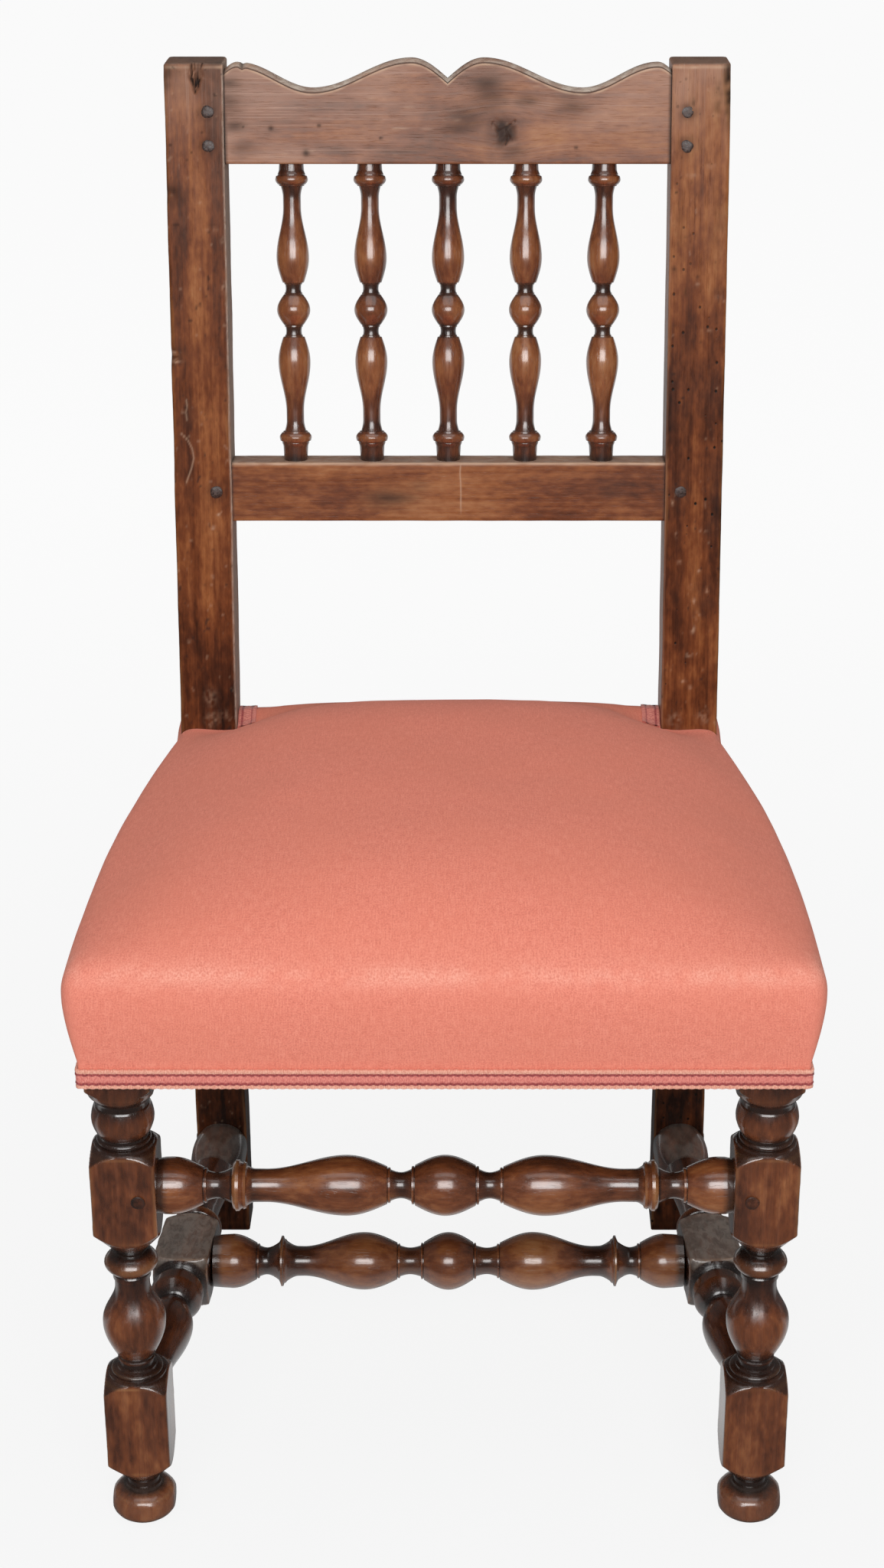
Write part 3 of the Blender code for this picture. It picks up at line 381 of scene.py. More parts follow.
def walnut(name, figure, cloud, rub, roughness, specular, coat):
    """Old waxed walnut: mottled grain, pores, hollows darkened by grime and painted shade, edges and
    bellies lightened by wear and painted light, haze that also holds a painted reflection, dust that also
    holds a painted sheen, bare wood that also holds painted glints, and worm holes. Figure, cloud and
    rub are how strongly the grain, its broad mottling and the rubbed and highlit edges show."""
    t = Tree(name)
    grain = t.field("grain", "Vector")
    relief = t.field("relief")
    stain = t.field("stain")
    tone, streaks, clouds = walnut_tone(t, grain, figure, cloud)
    haze = walnut_haze(t, grain, clouds)
    pores = t.span(t.noise(t.scaled(grain, (1500, 1500, 60)), 2), 0.58, 0.74)
    # Convex edges lighter: partly wear, partly a painted highlight
    rubbed_and_highlit = t.times(t.span(relief, 0.4, 1.3), t.span(clouds, 0.40, 0.62, 0.1 * rub, rub))
    # Hollows darkened: partly grime, partly painted shade
    hollow_grime_and_shade = t.math("MAXIMUM", t.span(relief, -0.15, -1.2), t.field("hollow_grime_and_shade"))
    specks = t.noise(t.scaled(grain, (210, 210, 120)), 4, 0.6, 0.65)
    dust = t.times(t.field("dust"), t.span(specks, 0.36, 0.62, 0.55, 1.1), clamp=True)
    hole = worm_holes(t, grain)
    # From the wood outwards: how much of each layer there is, and its colour
    layers = (
        # Bellies lighter: partly wear, partly painted light
        (t.times(t.field("belly_wear_and_light"), 0.35), (0.230, 0.0680, 0.0200)),
        # Haze, which on a stile's inner face is a painted reflection
        (haze, (0.40, 0.230, 0.165)),
        (t.times(pores, 0.25), (0.018, 0.007, 0.005)),
        # Rubbed edges, partly a painted highlight
        (rubbed_and_highlit, (0.360, 0.165, 0.062)),
        # Hollows: grime and painted shade
        (t.times(hollow_grime_and_shade, 0.92), (0.014, 0.0065, 0.0045)),
        # Dust, which on upward faces also holds a painted sheen
        (dust, (0.500, 0.415, 0.345)),
        # Bare wood, which also holds painted glints
        (t.field("bare"), (0.52, 0.330, 0.220)),
        (hole, (0.010, 0.006, 0.004)),
        (stain, (0.014, 0.010, 0.009)),
    )
    colour = t.ramp(tone, *WALNUT_TONES)
    for share, tint in layers:
        colour = t.mix(share, colour, tint)
    rough = t.span(streaks, 0.3, 0.7, *roughness)
    for cause, weight in ((hollow_grime_and_shade, 0.02), (haze, 0.06), (stain, 0.30), (dust, 0.60)):
        rough = t.plus(rough, t.times(cause, weight), clamp=True)
    height = t.math("SUBTRACT", t.times(streaks, 0.5), pores)
    height = t.math("SUBTRACT", height, t.times(hole, 3))
    height = t.plus(height, t.times(t.times(dust, specks), 12))
    t.bump(height, 0.00015, 0.45)
    return t.finish(Base_Color=colour, Roughness=rough, Specular_IOR_Level=specular, Coat_Weight=coat,
                    Coat_Roughness=0.12)


def peg_wood():
    """Dark end grain of the pegs, blackened round the rim, with a worn grey face."""
    t = Tree("peg_end_grain")
    grain = t.field("grain", "Vector")
    rings = t.noise(t.scaled(grain, (600, 600, 200)), 4, 0.5)
    colour = t.ramp(rings, (0.35, (0.028, 0.014, 0.011)), (0.55, (0.062, 0.033, 0.026)),
                    (0.75, (0.120, 0.075, 0.062)))
    colour = t.mix(t.field("stain"), colour, (0.010, 0.006, 0.005))
    t.bump(rings, 0.0003, 0.5)
    return t.finish(Base_Color=colour, Roughness=t.span(rings, 0.3, 0.7, 0.24, 0.48),
                    Specular_IOR_Level=0.42)


def rail_wood():
    """Plain sawn timber of the hidden seat frame."""
    t = Tree("sawn_timber")
    grain = t.noise(t.scaled(t.place(), (20, 20, 320)), 5, 0.4)
    colour = t.ramp(grain, (0.3, (0.200, 0.105, 0.048)), (0.7, (0.380, 0.225, 0.115)))
    t.bump(grain, 0.0004, 0.5)
    return t.finish(Base_Color=colour, Roughness=t.span(grain, 0.3, 0.7, 0.6, 0.8))


def threads(t, cloth, pitch):
    """Two sets of uneven threads that cross: how high the cloth stands, and which set lies on top."""
    per_metre = 1 / pitch
    across = t.noise(t.scaled(cloth, (per_metre, per_metre * 0.09, per_metre * 0.09)), 2)
    along = t.noise(t.scaled(cloth, (per_metre * 0.09, per_metre, per_metre * 0.09)), 2)
    return t.math("MAXIMUM", across, along), t.math("SUBTRACT", across, along)


def cover_cloth():
    """Salmon wool with a fine uneven weave, lighter flecks, a front edge paler by rubbing and a painted
    highlight, and painted shade behind the crown.
    """
    t = Tree("salmon_wool")
    cloth = t.field("cloth", "Vector")
    height, upper = threads(t, cloth, 0.9 * MM)
    flecks = t.noise(t.scaled(cloth, (850, 850, 850)), 3, 0.4)
    clouds = t.noise(t.scaled(cloth, (14, 14, 14)), 3)
    blotches = t.noise(t.scaled(cloth, (190, 190, 190)), 3)
    weave = t.plus(t.times(flecks, 0.6), t.times(height, 0.4))
    colour = t.ramp(
        t.swings(weave, (blotches, 0.2)),
        (0.38, (0.66, 0.184, 0.130)),
        (0.52, (0.77, 0.233, 0.165)),
        (0.66, (0.84, 0.298, 0.216)),
    )
    colour = t.mix(t.span(clouds, 0.3, 0.7, 0, 0.30), colour, (0.75, 0.228, 0.150))
    colour = t.mix(t.span(upper, 0.02, 0.16, 0, 0.22), colour, (0.86, 0.33, 0.235))
    # Front edge: partly rubbed, partly a painted highlight
    rub = t.times(t.field("rub"), t.span(flecks, 0.38, 0.62, 0.25, 0.95))
    colour = t.mix(rub, colour, (0.88, 0.46, 0.36))
    # Painted shade behind the crown
    colour = t.mix(t.field("shade_behind_crown"), colour, (0.47, 0.150, 0.090))
    t.bump(t.plus(height, t.times(flecks, 0.5)), 0.0004, 0.28)
    return t.finish(Base_Color=colour, Roughness=t.span(flecks, 0.3, 0.7, 0.82, 0.96),
                    Specular_IOR_Level=0.2, Sheen_Weight=0.12, Sheen_Roughness=0.5,
                    Sheen_Tint=(0.95, 0.62, 0.50, 1))


def gimp_braid():
    """Twisted braid: pale ribs at its edges, pink between, and dark red cords in the grooves."""
    t = Tree("pink_braid")
    run = t.field("cloth", "Vector")
    twist = t.noise(t.scaled(run, (1300, 500, 500)), 3, 0.5)
    pink = t.ramp(twist, (0.35, (0.58, 0.140, 0.118)), (0.65, (0.80, 0.290, 0.235)))
    pale = t.ramp(twist, (0.35, (0.66, 0.250, 0.180)), (0.65, (0.86, 0.460, 0.340)))
    dark = t.ramp(twist, (0.35, (0.200, 0.026, 0.030)), (0.65, (0.400, 0.080, 0.078)))
    colour = t.mix(t.field("pale"), pink, pale)
    colour = t.mix(t.field("dark"), colour, dark)
    t.bump(twist, 0.0005, 0.7)
    return t.finish(Base_Color=colour, Roughness=t.span(twist, 0.3, 0.7, 0.70, 0.92),
                    Specular_IOR_Level=0.3, Sheen_Weight=0.2, Sheen_Roughness=0.5)


def woven(name, pitch, dark, light):
    """A plain coarse cloth in two shades."""
    t = Tree(name)
    height, upper = threads(t, t.place(), pitch)
    colour = t.ramp(t.plus(height, t.times(upper, 0.5)), (0.4, dark), (0.75, light))
    t.bump(height, pitch * 0.5, 0.6)
    return t.finish(Base_Color=colour, Roughness=t.span(height, 0.3, 0.7, 0.85, 0.97),
                    Specular_IOR_Level=0.2)


def make_materials():
    return {
        "walnut": walnut("walnut_planed", figure=0.6, cloud=0.7, rub=0.35, roughness=(0.27, 0.36),
                         specular=0.24, coat=0.0),
        "walnut_post": walnut("walnut_post", figure=0.75, cloud=0.85, rub=0.3, roughness=(0.28, 0.37),
                              specular=0.10, coat=0.0),
        "walnut_turned": walnut("walnut_turned", figure=0.45, cloud=0.9, rub=0.65, roughness=(0.21, 0.31),
                                specular=0.80, coat=0.9),
        "peg_wood": peg_wood(),
        "rail_wood": rail_wood(),
        "cover_cloth": cover_cloth(),
        "gimp_braid": gimp_braid(),
        "web_jute": woven("jute_webbing", 2.2 * MM, (0.250, 0.160, 0.075), (0.480, 0.350, 0.190)),
        "base_linen": woven("base_linen_weave", 1.4 * MM, (0.340, 0.250, 0.140), (0.560, 0.440, 0.280)),
        "stuffing_fibre": woven("stuffing_hair", 1.8 * MM, (0.110, 0.065, 0.035), (0.330, 0.220, 0.130)),
        "dust_cloth": woven("black_dust_cloth", 1.2 * MM, (0.008, 0.008, 0.009), (0.030, 0.029, 0.028)),
    }


# Turnings: rows of place and diameter in millimetres, and the curve that leads to the row

LEG = (
    (0, 26.7), (1, 32), (2.5, 37.4), (4.5, 42), (7, 45.3), (10, 47.1), (12.4, 47.4), (15, 47), (18, 45),
    (20.5, 41.4), (22.5, 36.4), (24, 30.8), (24.8, 26.4), (27.4, 26), (28.2, 23),
    (31, 22.6), (34, 25.4, fall), (44.5, 44), (54, 62),
    (109, 62), (120.5, 44.5, fall), (121, 41), (122.2, 40.4), (122.8, 35.4), (124, 36.2, rise),
    (125.2, 34.4, fall), (125.8, 28.6), (127.4, 27.8), (128.4, 23.8), (131.2, 23.4), (132, 25.6),
    (133.4, 26), (134.2, 24), (136, 24.4), (136.6, 26.4), (163.5, 44, rise), (193, 24.2, ease),
    (198.4, 24), (199.2, 26.2), (202.6, 26.6), (203.6, 25.2), (204.6, 28.4), (211.4, 37.2, rise),
    (218.4, 27.6, fall), (219, 22.6), (219.8, 20.8), (221.4, 21.6), (224, 25.4, fall), (234.8, 44),
    (244.5, 62),
    (294, 62), (305, 44.5, fall), (305.8, 41), (307.4, 40.4), (308, 36), (309.5, 37.6, rise),
    (311, 36.2, fall), (311.6, 33.6), (313.2, 33.4), (314, 35), (326, 42.6, rise), (336, 38.2, fall),
    (336.8, 36.8), (338.6, 37), (345.6, 45.6, fall), (350, 50), (356, 62), (424.7, 62),
)
SPINDLE_HALF = (
    (0, 25.2), (11.2, 15, fall), (11.6, 13.6), (12.6, 13.8), (13, 12.4), (15.8, 11.6, rise),
    (18.8, 12.2, fall), (19.2, 13.4), (20.2, 13.8), (20.6, 16.4), (21.4, 17), (39, 24.6, rise),
    (77, 13.4, ease), (84, 13.4), (92, 16.4, fall), (92.4, 19), (93.2, 19.2), (93.6, 21),
    (96.8, 24.6, rise), (99.6, 23.4, fall), (100, 21.2), (100.8, 20.6), (101.2, 20.8),
    (104.4, 18.9, rise), (116, 17.6),
)
FRONT_STRETCHER_HALF = (
    (0, 41), (20.6, 27.4, fall), (20.9, 25), (21.3, 25), (21.6, 26), (22.8, 25.8), (23.1, 22),
    (23.4, 21.6), (30.2, 17.6, rise), (37.2, 21.2, fall), (37.5, 23.8), (38.7, 24.2), (39, 23.2),
    (39.4, 23.4), (39.7, 25.6), (67.5, 41, rise), (122, 22.4, ease),
    (129.6, 22.6), (134.6, 27.4, fall), (135.4, 31), (137, 32.4), (137.8, 31), (138.8, 32), (140, 34.6),
    (142.2, 35), (144.2, 31.4), (145, 25), (155.4, 17.6, rise), (161.8, 20.6, fall), (162.1, 23.4),
    (163.4, 24), (163.7, 22.8), (164.2, 23), (164.5, 25.6), (186, 39, rise), (190.5, 38.8), (195, 36.9),
)
CROSS_STRETCHER_HALF = (
    (0, 44), (19, 28.8, fall), (19.3, 26.6), (19.8, 26.6), (20.1, 27.8), (21.2, 27.4), (21.5, 23.8),
    (21.8, 23.4), (29.8, 20.4, rise), (37.4, 23.6, fall), (37.7, 26.2), (38.8, 26.6), (39.1, 25.4),
    (39.5, 25.6), (39.8, 28.2), (65, 44, rise), (112, 22.8, ease),
    (116, 23), (124.6, 30, fall), (126.2, 33.6), (127.2, 34), (128, 38.6), (129.4, 38.8), (130.2, 33.8),
    (131.4, 29), (140.6, 20.8, rise), (146.2, 23.8, fall), (146.5, 26.4), (147.6, 26.8), (147.9, 25.6),
    (148.3, 25.8), (148.6, 28.2), (167, 41.6, rise), (175, 40.6), (181.4, 39.4),
)
SIDE_STRETCHER = (
    (0, 26.2), (16, 26), (27, 23.6), (84, 38.6, ease), (108.5, 25.6, fall), (109, 23.6), (111, 23.8),
    (111.6, 26), (123.4, 40.4, rise), (130, 40.2), (138.6, 35, fall), (139, 32.6), (140.4, 32.6),
    (142, 42, fall), (146.6, 60),
    (200.2, 60), (209.6, 41.6), (210.4, 36), (212.6, 35), (213.2, 31.6), (216.4, 31.4), (217, 35),
    (221.4, 39, rise), (226, 34.6, fall), (227, 28.4), (242.5, 26.9), (302, 34, ease), (329, 45.6, rise),
    (346.9, 43, fall),
)
ROW_STEP = 1.0
OCTANT_STEPS = 9
ROUND_SIDES = 44


def turning(table):
    """Places and radii along a turning, in metres."""
    places, radii = [table[0][0]], [table[0][1] / 2]
    for (start, old, *_), (end, new, *curve) in zip(table, table[1:]):
        steps = max(1, math.ceil((end - start) / ROW_STEP))
        t = np.arange(1, steps + 1) / steps
        shape = curve[0] if curve else line
        places += list(start + (end - start) * t)
        radii += list((old + (new - old) * shape(t)) / 2)
    return np.array(places) * MM, np.array(radii) * MM


def whole(half):
    """A half turning made whole about its middle; each curve runs the other way in the mirrored half."""
    flipped = {fall: rise, rise: fall, ease: ease, line: line}
    rows = []
    for row, after in zip(half[::-1], (None, *half[::-1])):
        curve = flipped[after[2] if after and len(after) > 2 else line]
        rows.append((-row[0], row[1], curve))
    return rows + list(half[1:])


def corner_angles():
    """Angles round a square billet, closer together towards its corners."""
    octant = math.pi / 4 * (1 - (1 - np.arange(OCTANT_STEPS) / OCTANT_STEPS) ** 1.7)
    quarter = np.concatenate([octant, math.pi / 2 - np.append(octant, math.pi / 4)[:0:-1]])
    return np.concatenate([quarter + math.pi / 2 * i for i in range(4)])


def square_radius(angles, half, corner):
    """Distance from the axis to the sides of a square with rounded corners."""
    c, s = np.abs(np.cos(angles)), np.abs(np.sin(angles))
    big, small = np.maximum(c, s), np.minimum(c, s)
    flat = half / big
    inner = half - corner
    reach = inner * (c + s)
    bend = reach + np.sqrt(np.maximum(reach**2 - (2 * inner**2 - corner**2), 0))
    return np.where(flat * small <= inner, flat, bend)


def smooth_min(a, b, softness):
    share = clamp01(0.5 + 0.5 * (b - a) / softness)
    return b + (a - b) * share - softness * share * (1 - share)


# Hollows and the ends of a piece are darkened, partly as grime and partly as painted shade
HOLLOW_DEPTH, END_GRIME_AND_SHADE_REACH = 2.3 * MM, 5 * MM
# Beyond this place the rear bulb gets a thinner coat of dust and painted sheen
DUST_AND_SHEEN_BULB, FOOT_HEIGHT = 300 * MM, 29 * MM
# The distance from a turning's axis at which its noise is taken
NOISE_RADIUS = 20 * MM
# Wood lighter or darker at places along a turning, in millimetres from its middle or its lower end: partly
# the wood's own tone and partly painted light and shade, as darker necks, lighter bellies and darker parts
# under the seat
LEG_TONES_AND_SHADE = (
    (0, -0.06), (24, -0.06), (28, -0.14), (40, -0.08), (54, 0.01), (112, 0.01), (120, -0.12),
    (136, -0.10), (150, -0.02), (172, -0.04), (196, -0.14), (203, -0.28), (218, -0.30), (226, -0.12),
    (300, -0.09), (314, -0.12), (320, -0.05), (330, -0.14), (338, -0.24), (346, -0.26),
)
SPINDLE_TONES_AND_SHADE = (
    (0, 0.12), (15, -0.06), (22, 0.02), (40, 0.18), (66, 0.04), (86, -0.10), (93, -0.12), (97, 0.06),
    (99.5, 0.0), (101, -0.14),
)
FRONT_TONES_AND_SHADE = (
    (0, 0.03), (22, -0.04), (40, 0), (66, 0.05), (120, 0), (136, -0.06), (156, -0.10), (180, 0.02),
)
CROSS_TONES_AND_SHADE = (
    (0, 0.15), (22, 0.02), (40, 0.08), (65, 0.18), (95, 0.10), (112, -0.08), (140, -0.08), (165, 0.14),
)
SIDE_TONES_AND_SHADE = ((0, -0.20), (100, -0.22), (112, -0.28), (140, -0.28), (150, -0.18), (230, -0.22))
# Stretches of a turning whose turned shoulders are painted near-black
LEG_SHOULDERS = ((106, 131), (291, 314))
SIDE_SHOULDERS = ((131, 148), (198, 212))


def standing_out(radii, spread):
    """How far each row of a turning stands out of the rows around it, counted over a spread of rows."""
    reach = math.ceil(spread * 2.2)
    kernel = bell(np.arange(-reach, reach + 1), spread)
    padded = np.pad(radii, reach, mode="edge")
    return radii - np.convolve(padded, kernel / kernel.sum(), mode="valid")


def ring_points(around, radius, places):
    """Points on rings about Z, one ring at each place along it."""
    points = np.empty((len(places), len(around), 3))
    points[..., :2] = around * radius
    points[..., 2] = places[:, None]
    return points


def squared(radius, angles, spots, billet, seed):
    """Radii cut back to a square billet with unevenly worn corners, and where the lathe cut inside it."""
    wear = 2.2 + 1.5 * noise_at(spots, 45, seed) + 1.2 * noise_at(spots, 160, seed)
    square = square_radius(angles[None, :], billet / 2, np.clip(wear, 1.0, 5) * MM)
    turned_away = clamp01((square - radius) / (1.2 * MM))
    return smooth_min(radius, square, 1.0 * MM), turned_away


def turned_marks(places, radii, radius, around, turned_away, billet, tones, shoulders=(),
                 lighter_below=0.0, dull_foot=0.0, dusty=False):
    """The fields of marks on a turned piece. Tones make the wood lighter or darker at places in
    millimetres, partly as painted light and shade, shoulders are the stretches whose turned parts are
    painted black, lighter_below is how much lighter the side towards X is painted, as light from below,
    dull_foot is the height of a dusty foot, and a piece with dusty has dust and a painted sheen on its
    blocks and its rear bulb, on the side towards -Y. Hollows and ends are darkened, partly as grime and
    partly as painted shade, and bellies lightened, partly as wear and partly as painted light."""
    solid = np.minimum(radii, billet * 0.55) if billet else radii
    proud = standing_out(solid, 11)[:, None]
    from_end = np.minimum(places - places[0], places[-1] - places)[:, None]
    # Darker in the hollows and near the ends: partly grime, partly painted shade
    hollow_grime_and_shade = np.maximum(clamp01(-proud / HOLLOW_DEPTH), 0.9 * clamp01(1.6 - from_end / END_GRIME_AND_SHADE_REACH))
    for start, end in shoulders:
        inside = clamp01((places / MM - start) / 1.5) * clamp01((end - places / MM) / 1.5)
        hollow_grime_and_shade = np.maximum(hollow_grime_and_shade, 0.88 * inside[:, None] * turned_away)
    dust = np.zeros((1, 1))
    if dull_foot:
        dust = 0.04 * clamp01((dull_foot - places) / (3 * MM))[:, None]
    if dusty:
        # The upper side of blocks and the rear bulb is pale: dust and a painted sheen
        thickness = np.where(places > DUST_AND_SHEEN_BULB, 0.2, 0.45 * (radii > billet / 2))
        dust = clamp01((-around[:, 1] - 0.55) / 0.2) * thickness[:, None]
    relief = standing_out(solid, 4)[:, None] / MM
    if billet:
        relief = relief + 0.9 * clamp01((radius / (billet / 2) - 1.27) / 0.1)
    return {
        "hollow_grime_and_shade": hollow_grime_and_shade,
        # Lighter where the turning stands out: partly wear, partly painted light
        "belly_wear_and_light": clamp01(proud / HOLLOW_DEPTH),
        # The tone along the piece holds painted light and shade, and the side towards X is painted
        # lighter, as light from below
        "tone": np.interp(np.abs(places) / MM, *zip(*tones))[:, None] + lighter_below * around[:, 0],
        "dust": dust,
        "relief": relief,
    }


def turned(name, table, seed, place, billet=0, **marks):
    """A turned piece about Z, with the marks that turned_marks takes. A billet width keeps its blocks
    square, with corners worn unevenly."""
    places, radii = turning(table)
    angles = corner_angles() if billet else np.arange(ROUND_SIDES) / ROUND_SIDES * TAU
    around = np.stack([np.cos(angles), np.sin(angles)], 1)
    spots = ring_points(around, NOISE_RADIUS, places)
    radius = np.repeat(radii[:, None], len(angles), 1)
    turned_away = None
    if billet:
        radius, turned_away = squared(radius, angles, spots, billet, seed)
    radius = radius + noise_at(spots, 28, seed) * 0.22 * MM
    points, faces = loft(ring_points(around, radius[..., None], places))
    fields = turned_marks(places, radii, radius, around, turned_away, billet, **marks)
    fields = {key: with_ends(np.broadcast_to(values, radius.shape)) for key, values in fields.items()}
    add_wood(name, points, faces, seed, place, fields, finish="walnut_turned")


def add_turnings():
    for seed, (side, sign) in enumerate(SIDES):
        leg_place = Matrix.Translation((sign * FRONT_X, FRONT_Y, 0))
        turned(f"front_leg_{side}_wood", LEG, 1.3 + seed, leg_place, LEG_BLOCK, tones=LEG_TONES_AND_SHADE,
               shoulders=LEG_SHOULDERS, dull_foot=FOOT_HEIGHT)
        start = Vector((sign * FRONT_X, FRONT_Y, LOW_STRETCHER_HEIGHT))
        end = Vector((sign * REAR_X, REAR_Y + STILE_DEPTH / 2, LOW_STRETCHER_HEIGHT))
        heading = math.atan2(start.x - end.x, end.y - start.y)
        lying = Matrix.Rotation(heading, 4, "Z") @ Matrix.Rotation(-math.pi / 2, 4, "X")
        face = Matrix.Translation((0, 0, LEG_BLOCK / 2 / math.cos(heading)))
        stretcher_place = Matrix.Translation(start) @ lying @ face
        turned(f"side_stretcher_{side}_wood", SIDE_STRETCHER, 3.7 + seed, stretcher_place, SIDE_BLOCK,
               tones=SIDE_TONES_AND_SHADE, shoulders=SIDE_SHOULDERS, dusty=True)
    crosswise = Matrix.Rotation(math.pi / 2, 4, "Y")
    front_place = Matrix.Translation((0, FRONT_Y, FRONT_STRETCHER_HEIGHT)) @ crosswise
    turned("front_stretcher_wood", whole(FRONT_STRETCHER_HALF), 5.2, front_place, tones=FRONT_TONES_AND_SHADE,
           lighter_below=0.06)
    cross_y = (FRONT_Y + LEG_BLOCK / 2 + REAR_Y) / 2
    cross_place = Matrix.Translation((0, cross_y, LOW_STRETCHER_HEIGHT)) @ crosswise
    turned("cross_stretcher_wood", whole(CROSS_STRETCHER_HALF), 6.4, cross_place, tones=CROSS_TONES_AND_SHADE,
           lighter_below=0.06)
    middle = (LOWER_RAIL_BOTTOM + LOWER_RAIL_HEIGHT + CREST_BOTTOM) / 2 + SPINDLE_LIFT
    for i in range(SPINDLE_COUNT):
        x = (i - (SPINDLE_COUNT - 1) / 2) * SPINDLE_PITCH
        place = BACK_FRAME @ Matrix.Translation((x, RAIL_SETBACK + BACK_RAIL_THICKNESS / 2, middle))
        place = place @ Matrix.Rotation(1.1 * i, 4, "Z")
        turned(f"spindle_{i + 1}_wood", whole(SPINDLE_HALF), 7.1 + i, place, tones=SPINDLE_TONES_AND_SHADE)


# Stiles and rails

def rounded_loop(low, high, corners, edge_steps, corner_steps):
    """A rectangle from low to high (two numbers each), as a loop from its low corner, with elliptic
    corners given as (along the first axis, along the second) from the low corner round."""
    (x0, y0), (x1, y1) = low, high
    spots = ((x0, y0, 1, 1), (x1, y0, -1, 1), (x1, y1, -1, -1), (x0, y1, 1, -1))
    arcs = []
    for quarter, ((x, y, sx, sy), (rx, ry)) in enumerate(zip(spots, corners)):
        turn = math.pi + quarter * math.pi / 2 + np.linspace(0, math.pi / 2, corner_steps)
        arcs.append(np.stack([x + sx * rx + rx * np.cos(turn), y + sy * ry + ry * np.sin(turn)], 1))
    loop = []
    for i, arc in enumerate(arcs):
        after = arcs[(i + 1) % 4][0]
        share = np.arange(1, edge_steps[i]) / edge_steps[i]
        loop += [arc, arc[-1] + (after - arc[-1]) * share[:, None]]
    return np.vstack(loop)


def bent(distance, y, z):
    """Point (y, z) at a distance along a stile's face whose bend would have its corner at (y, z)."""
    if distance < z - BEND_REACH:
        return np.array([y, distance])
    tilt = np.array([math.sin(RAKE), math.cos(RAKE)])
    corner = np.array([y, z])
    if distance > z + BEND_REACH:
        return corner + tilt * (distance - z)
    t = (distance - z + BEND_REACH) / (2 * BEND_REACH)
    low = corner - np.array([0, BEND_REACH])
    return low * (1 - t) ** 2 + corner * 2 * t * (1 - t) + (corner + tilt * BEND_REACH) * t**2


STILE_LENGTH = RAKE_START + (STILE_TOP - RAKE_START) / math.cos(RAKE)
BACK_BEND = RAKE_START - STILE_DEPTH * math.tan(RAKE / 2)
BACK_LENGTH = BACK_BEND + (STILE_TOP - BACK_BEND) / math.cos(RAKE)
SPLIT_DEPTH, SPLIT_LENGTH = 5 * MM, 23 * MM
# The split's cracks: its left and right edges and one between, as places across and below the top in mm
SPLIT_CRACKS = (
    ((-2.6, 0), (-1.9, 4), (-2.5, 8), (-0.9, 13), (0.5, 17), (1.1, 21)),
    ((6.9, 0), (6.1, 4), (6.6, 8), (5.0, 13), (2.8, 17), (1.1, 21)),
    ((2.9, 0), (2.1, 5), (3.1, 9), (2.3, 15)),
)
TOP_ROUNDING, LEG_TAPER = 2.2 * MM, 3 * MM
CREST_STRAIGHT = 54 * MM
PEG_HEIGHTS = (CREST_BOTTOM + 0.24 * CREST_STRAIGHT, CREST_BOTTOM + 0.70 * CREST_STRAIGHT,
               LOWER_RAIL_BOTTOM + LOWER_RAIL_HEIGHT / 2)
# Extra wear of a stile's corners: side, corner, place below the top, reach and depth, in millimetres
WORN_CORNERS = (
    ("right", 1, 0, 26, 6), ("left", 0, 0, 8, 2.5), ("left", 0, 96, 5, 1.6), ("left", 0, 215, 4.5, 4),
)
# Dark marks on a stile's face: place across and below the top, reach across and along, and strength; the
# one 215 mm below the left stile's top is painted shade in a dent
STILE_STAINS_AND_SHADE = {
    "left": (
        (-20, 96, 10, 9, 0.75), (-20, 215, 6, 6, 0.85), (-19, 8, 4, 12, 0.6), (-12, 262, 8, 14, 0.25),
        (0, 6, 26, 20, 0.30), (12, 40, 9, 34, 0.22), (11, 118, 3, 2, 0.45),
    ),
    "right": (
        (20, 14, 3.5, 26, 0.9), (13, 26, 4, 13, 0.5), (-14, 118, 4, 20, 0.25), (16, 330, 6, 30, 0.35),
        (10, 405, 10, 20, 0.30), (-6, 27, 2, 5, 0.6), (12, 18, 2, 2.4, 0.7), (7, 71, 2.5, 1.8, 0.5),
        (-10, 126, 1.8, 1.5, 0.6), (-16, 131, 1.8, 1.5, 0.5), (-18, 150, 2, 2, 0.6),
        (0, 156, 1.6, 1.5, 0.5), (-9, 167, 1.3, 4, 0.6), (-17, 192, 1.7, 2, 0.7), (16, 167, 4, 4, 0.3),
        (15, 118, 7, 30, 0.22),
    ),
}
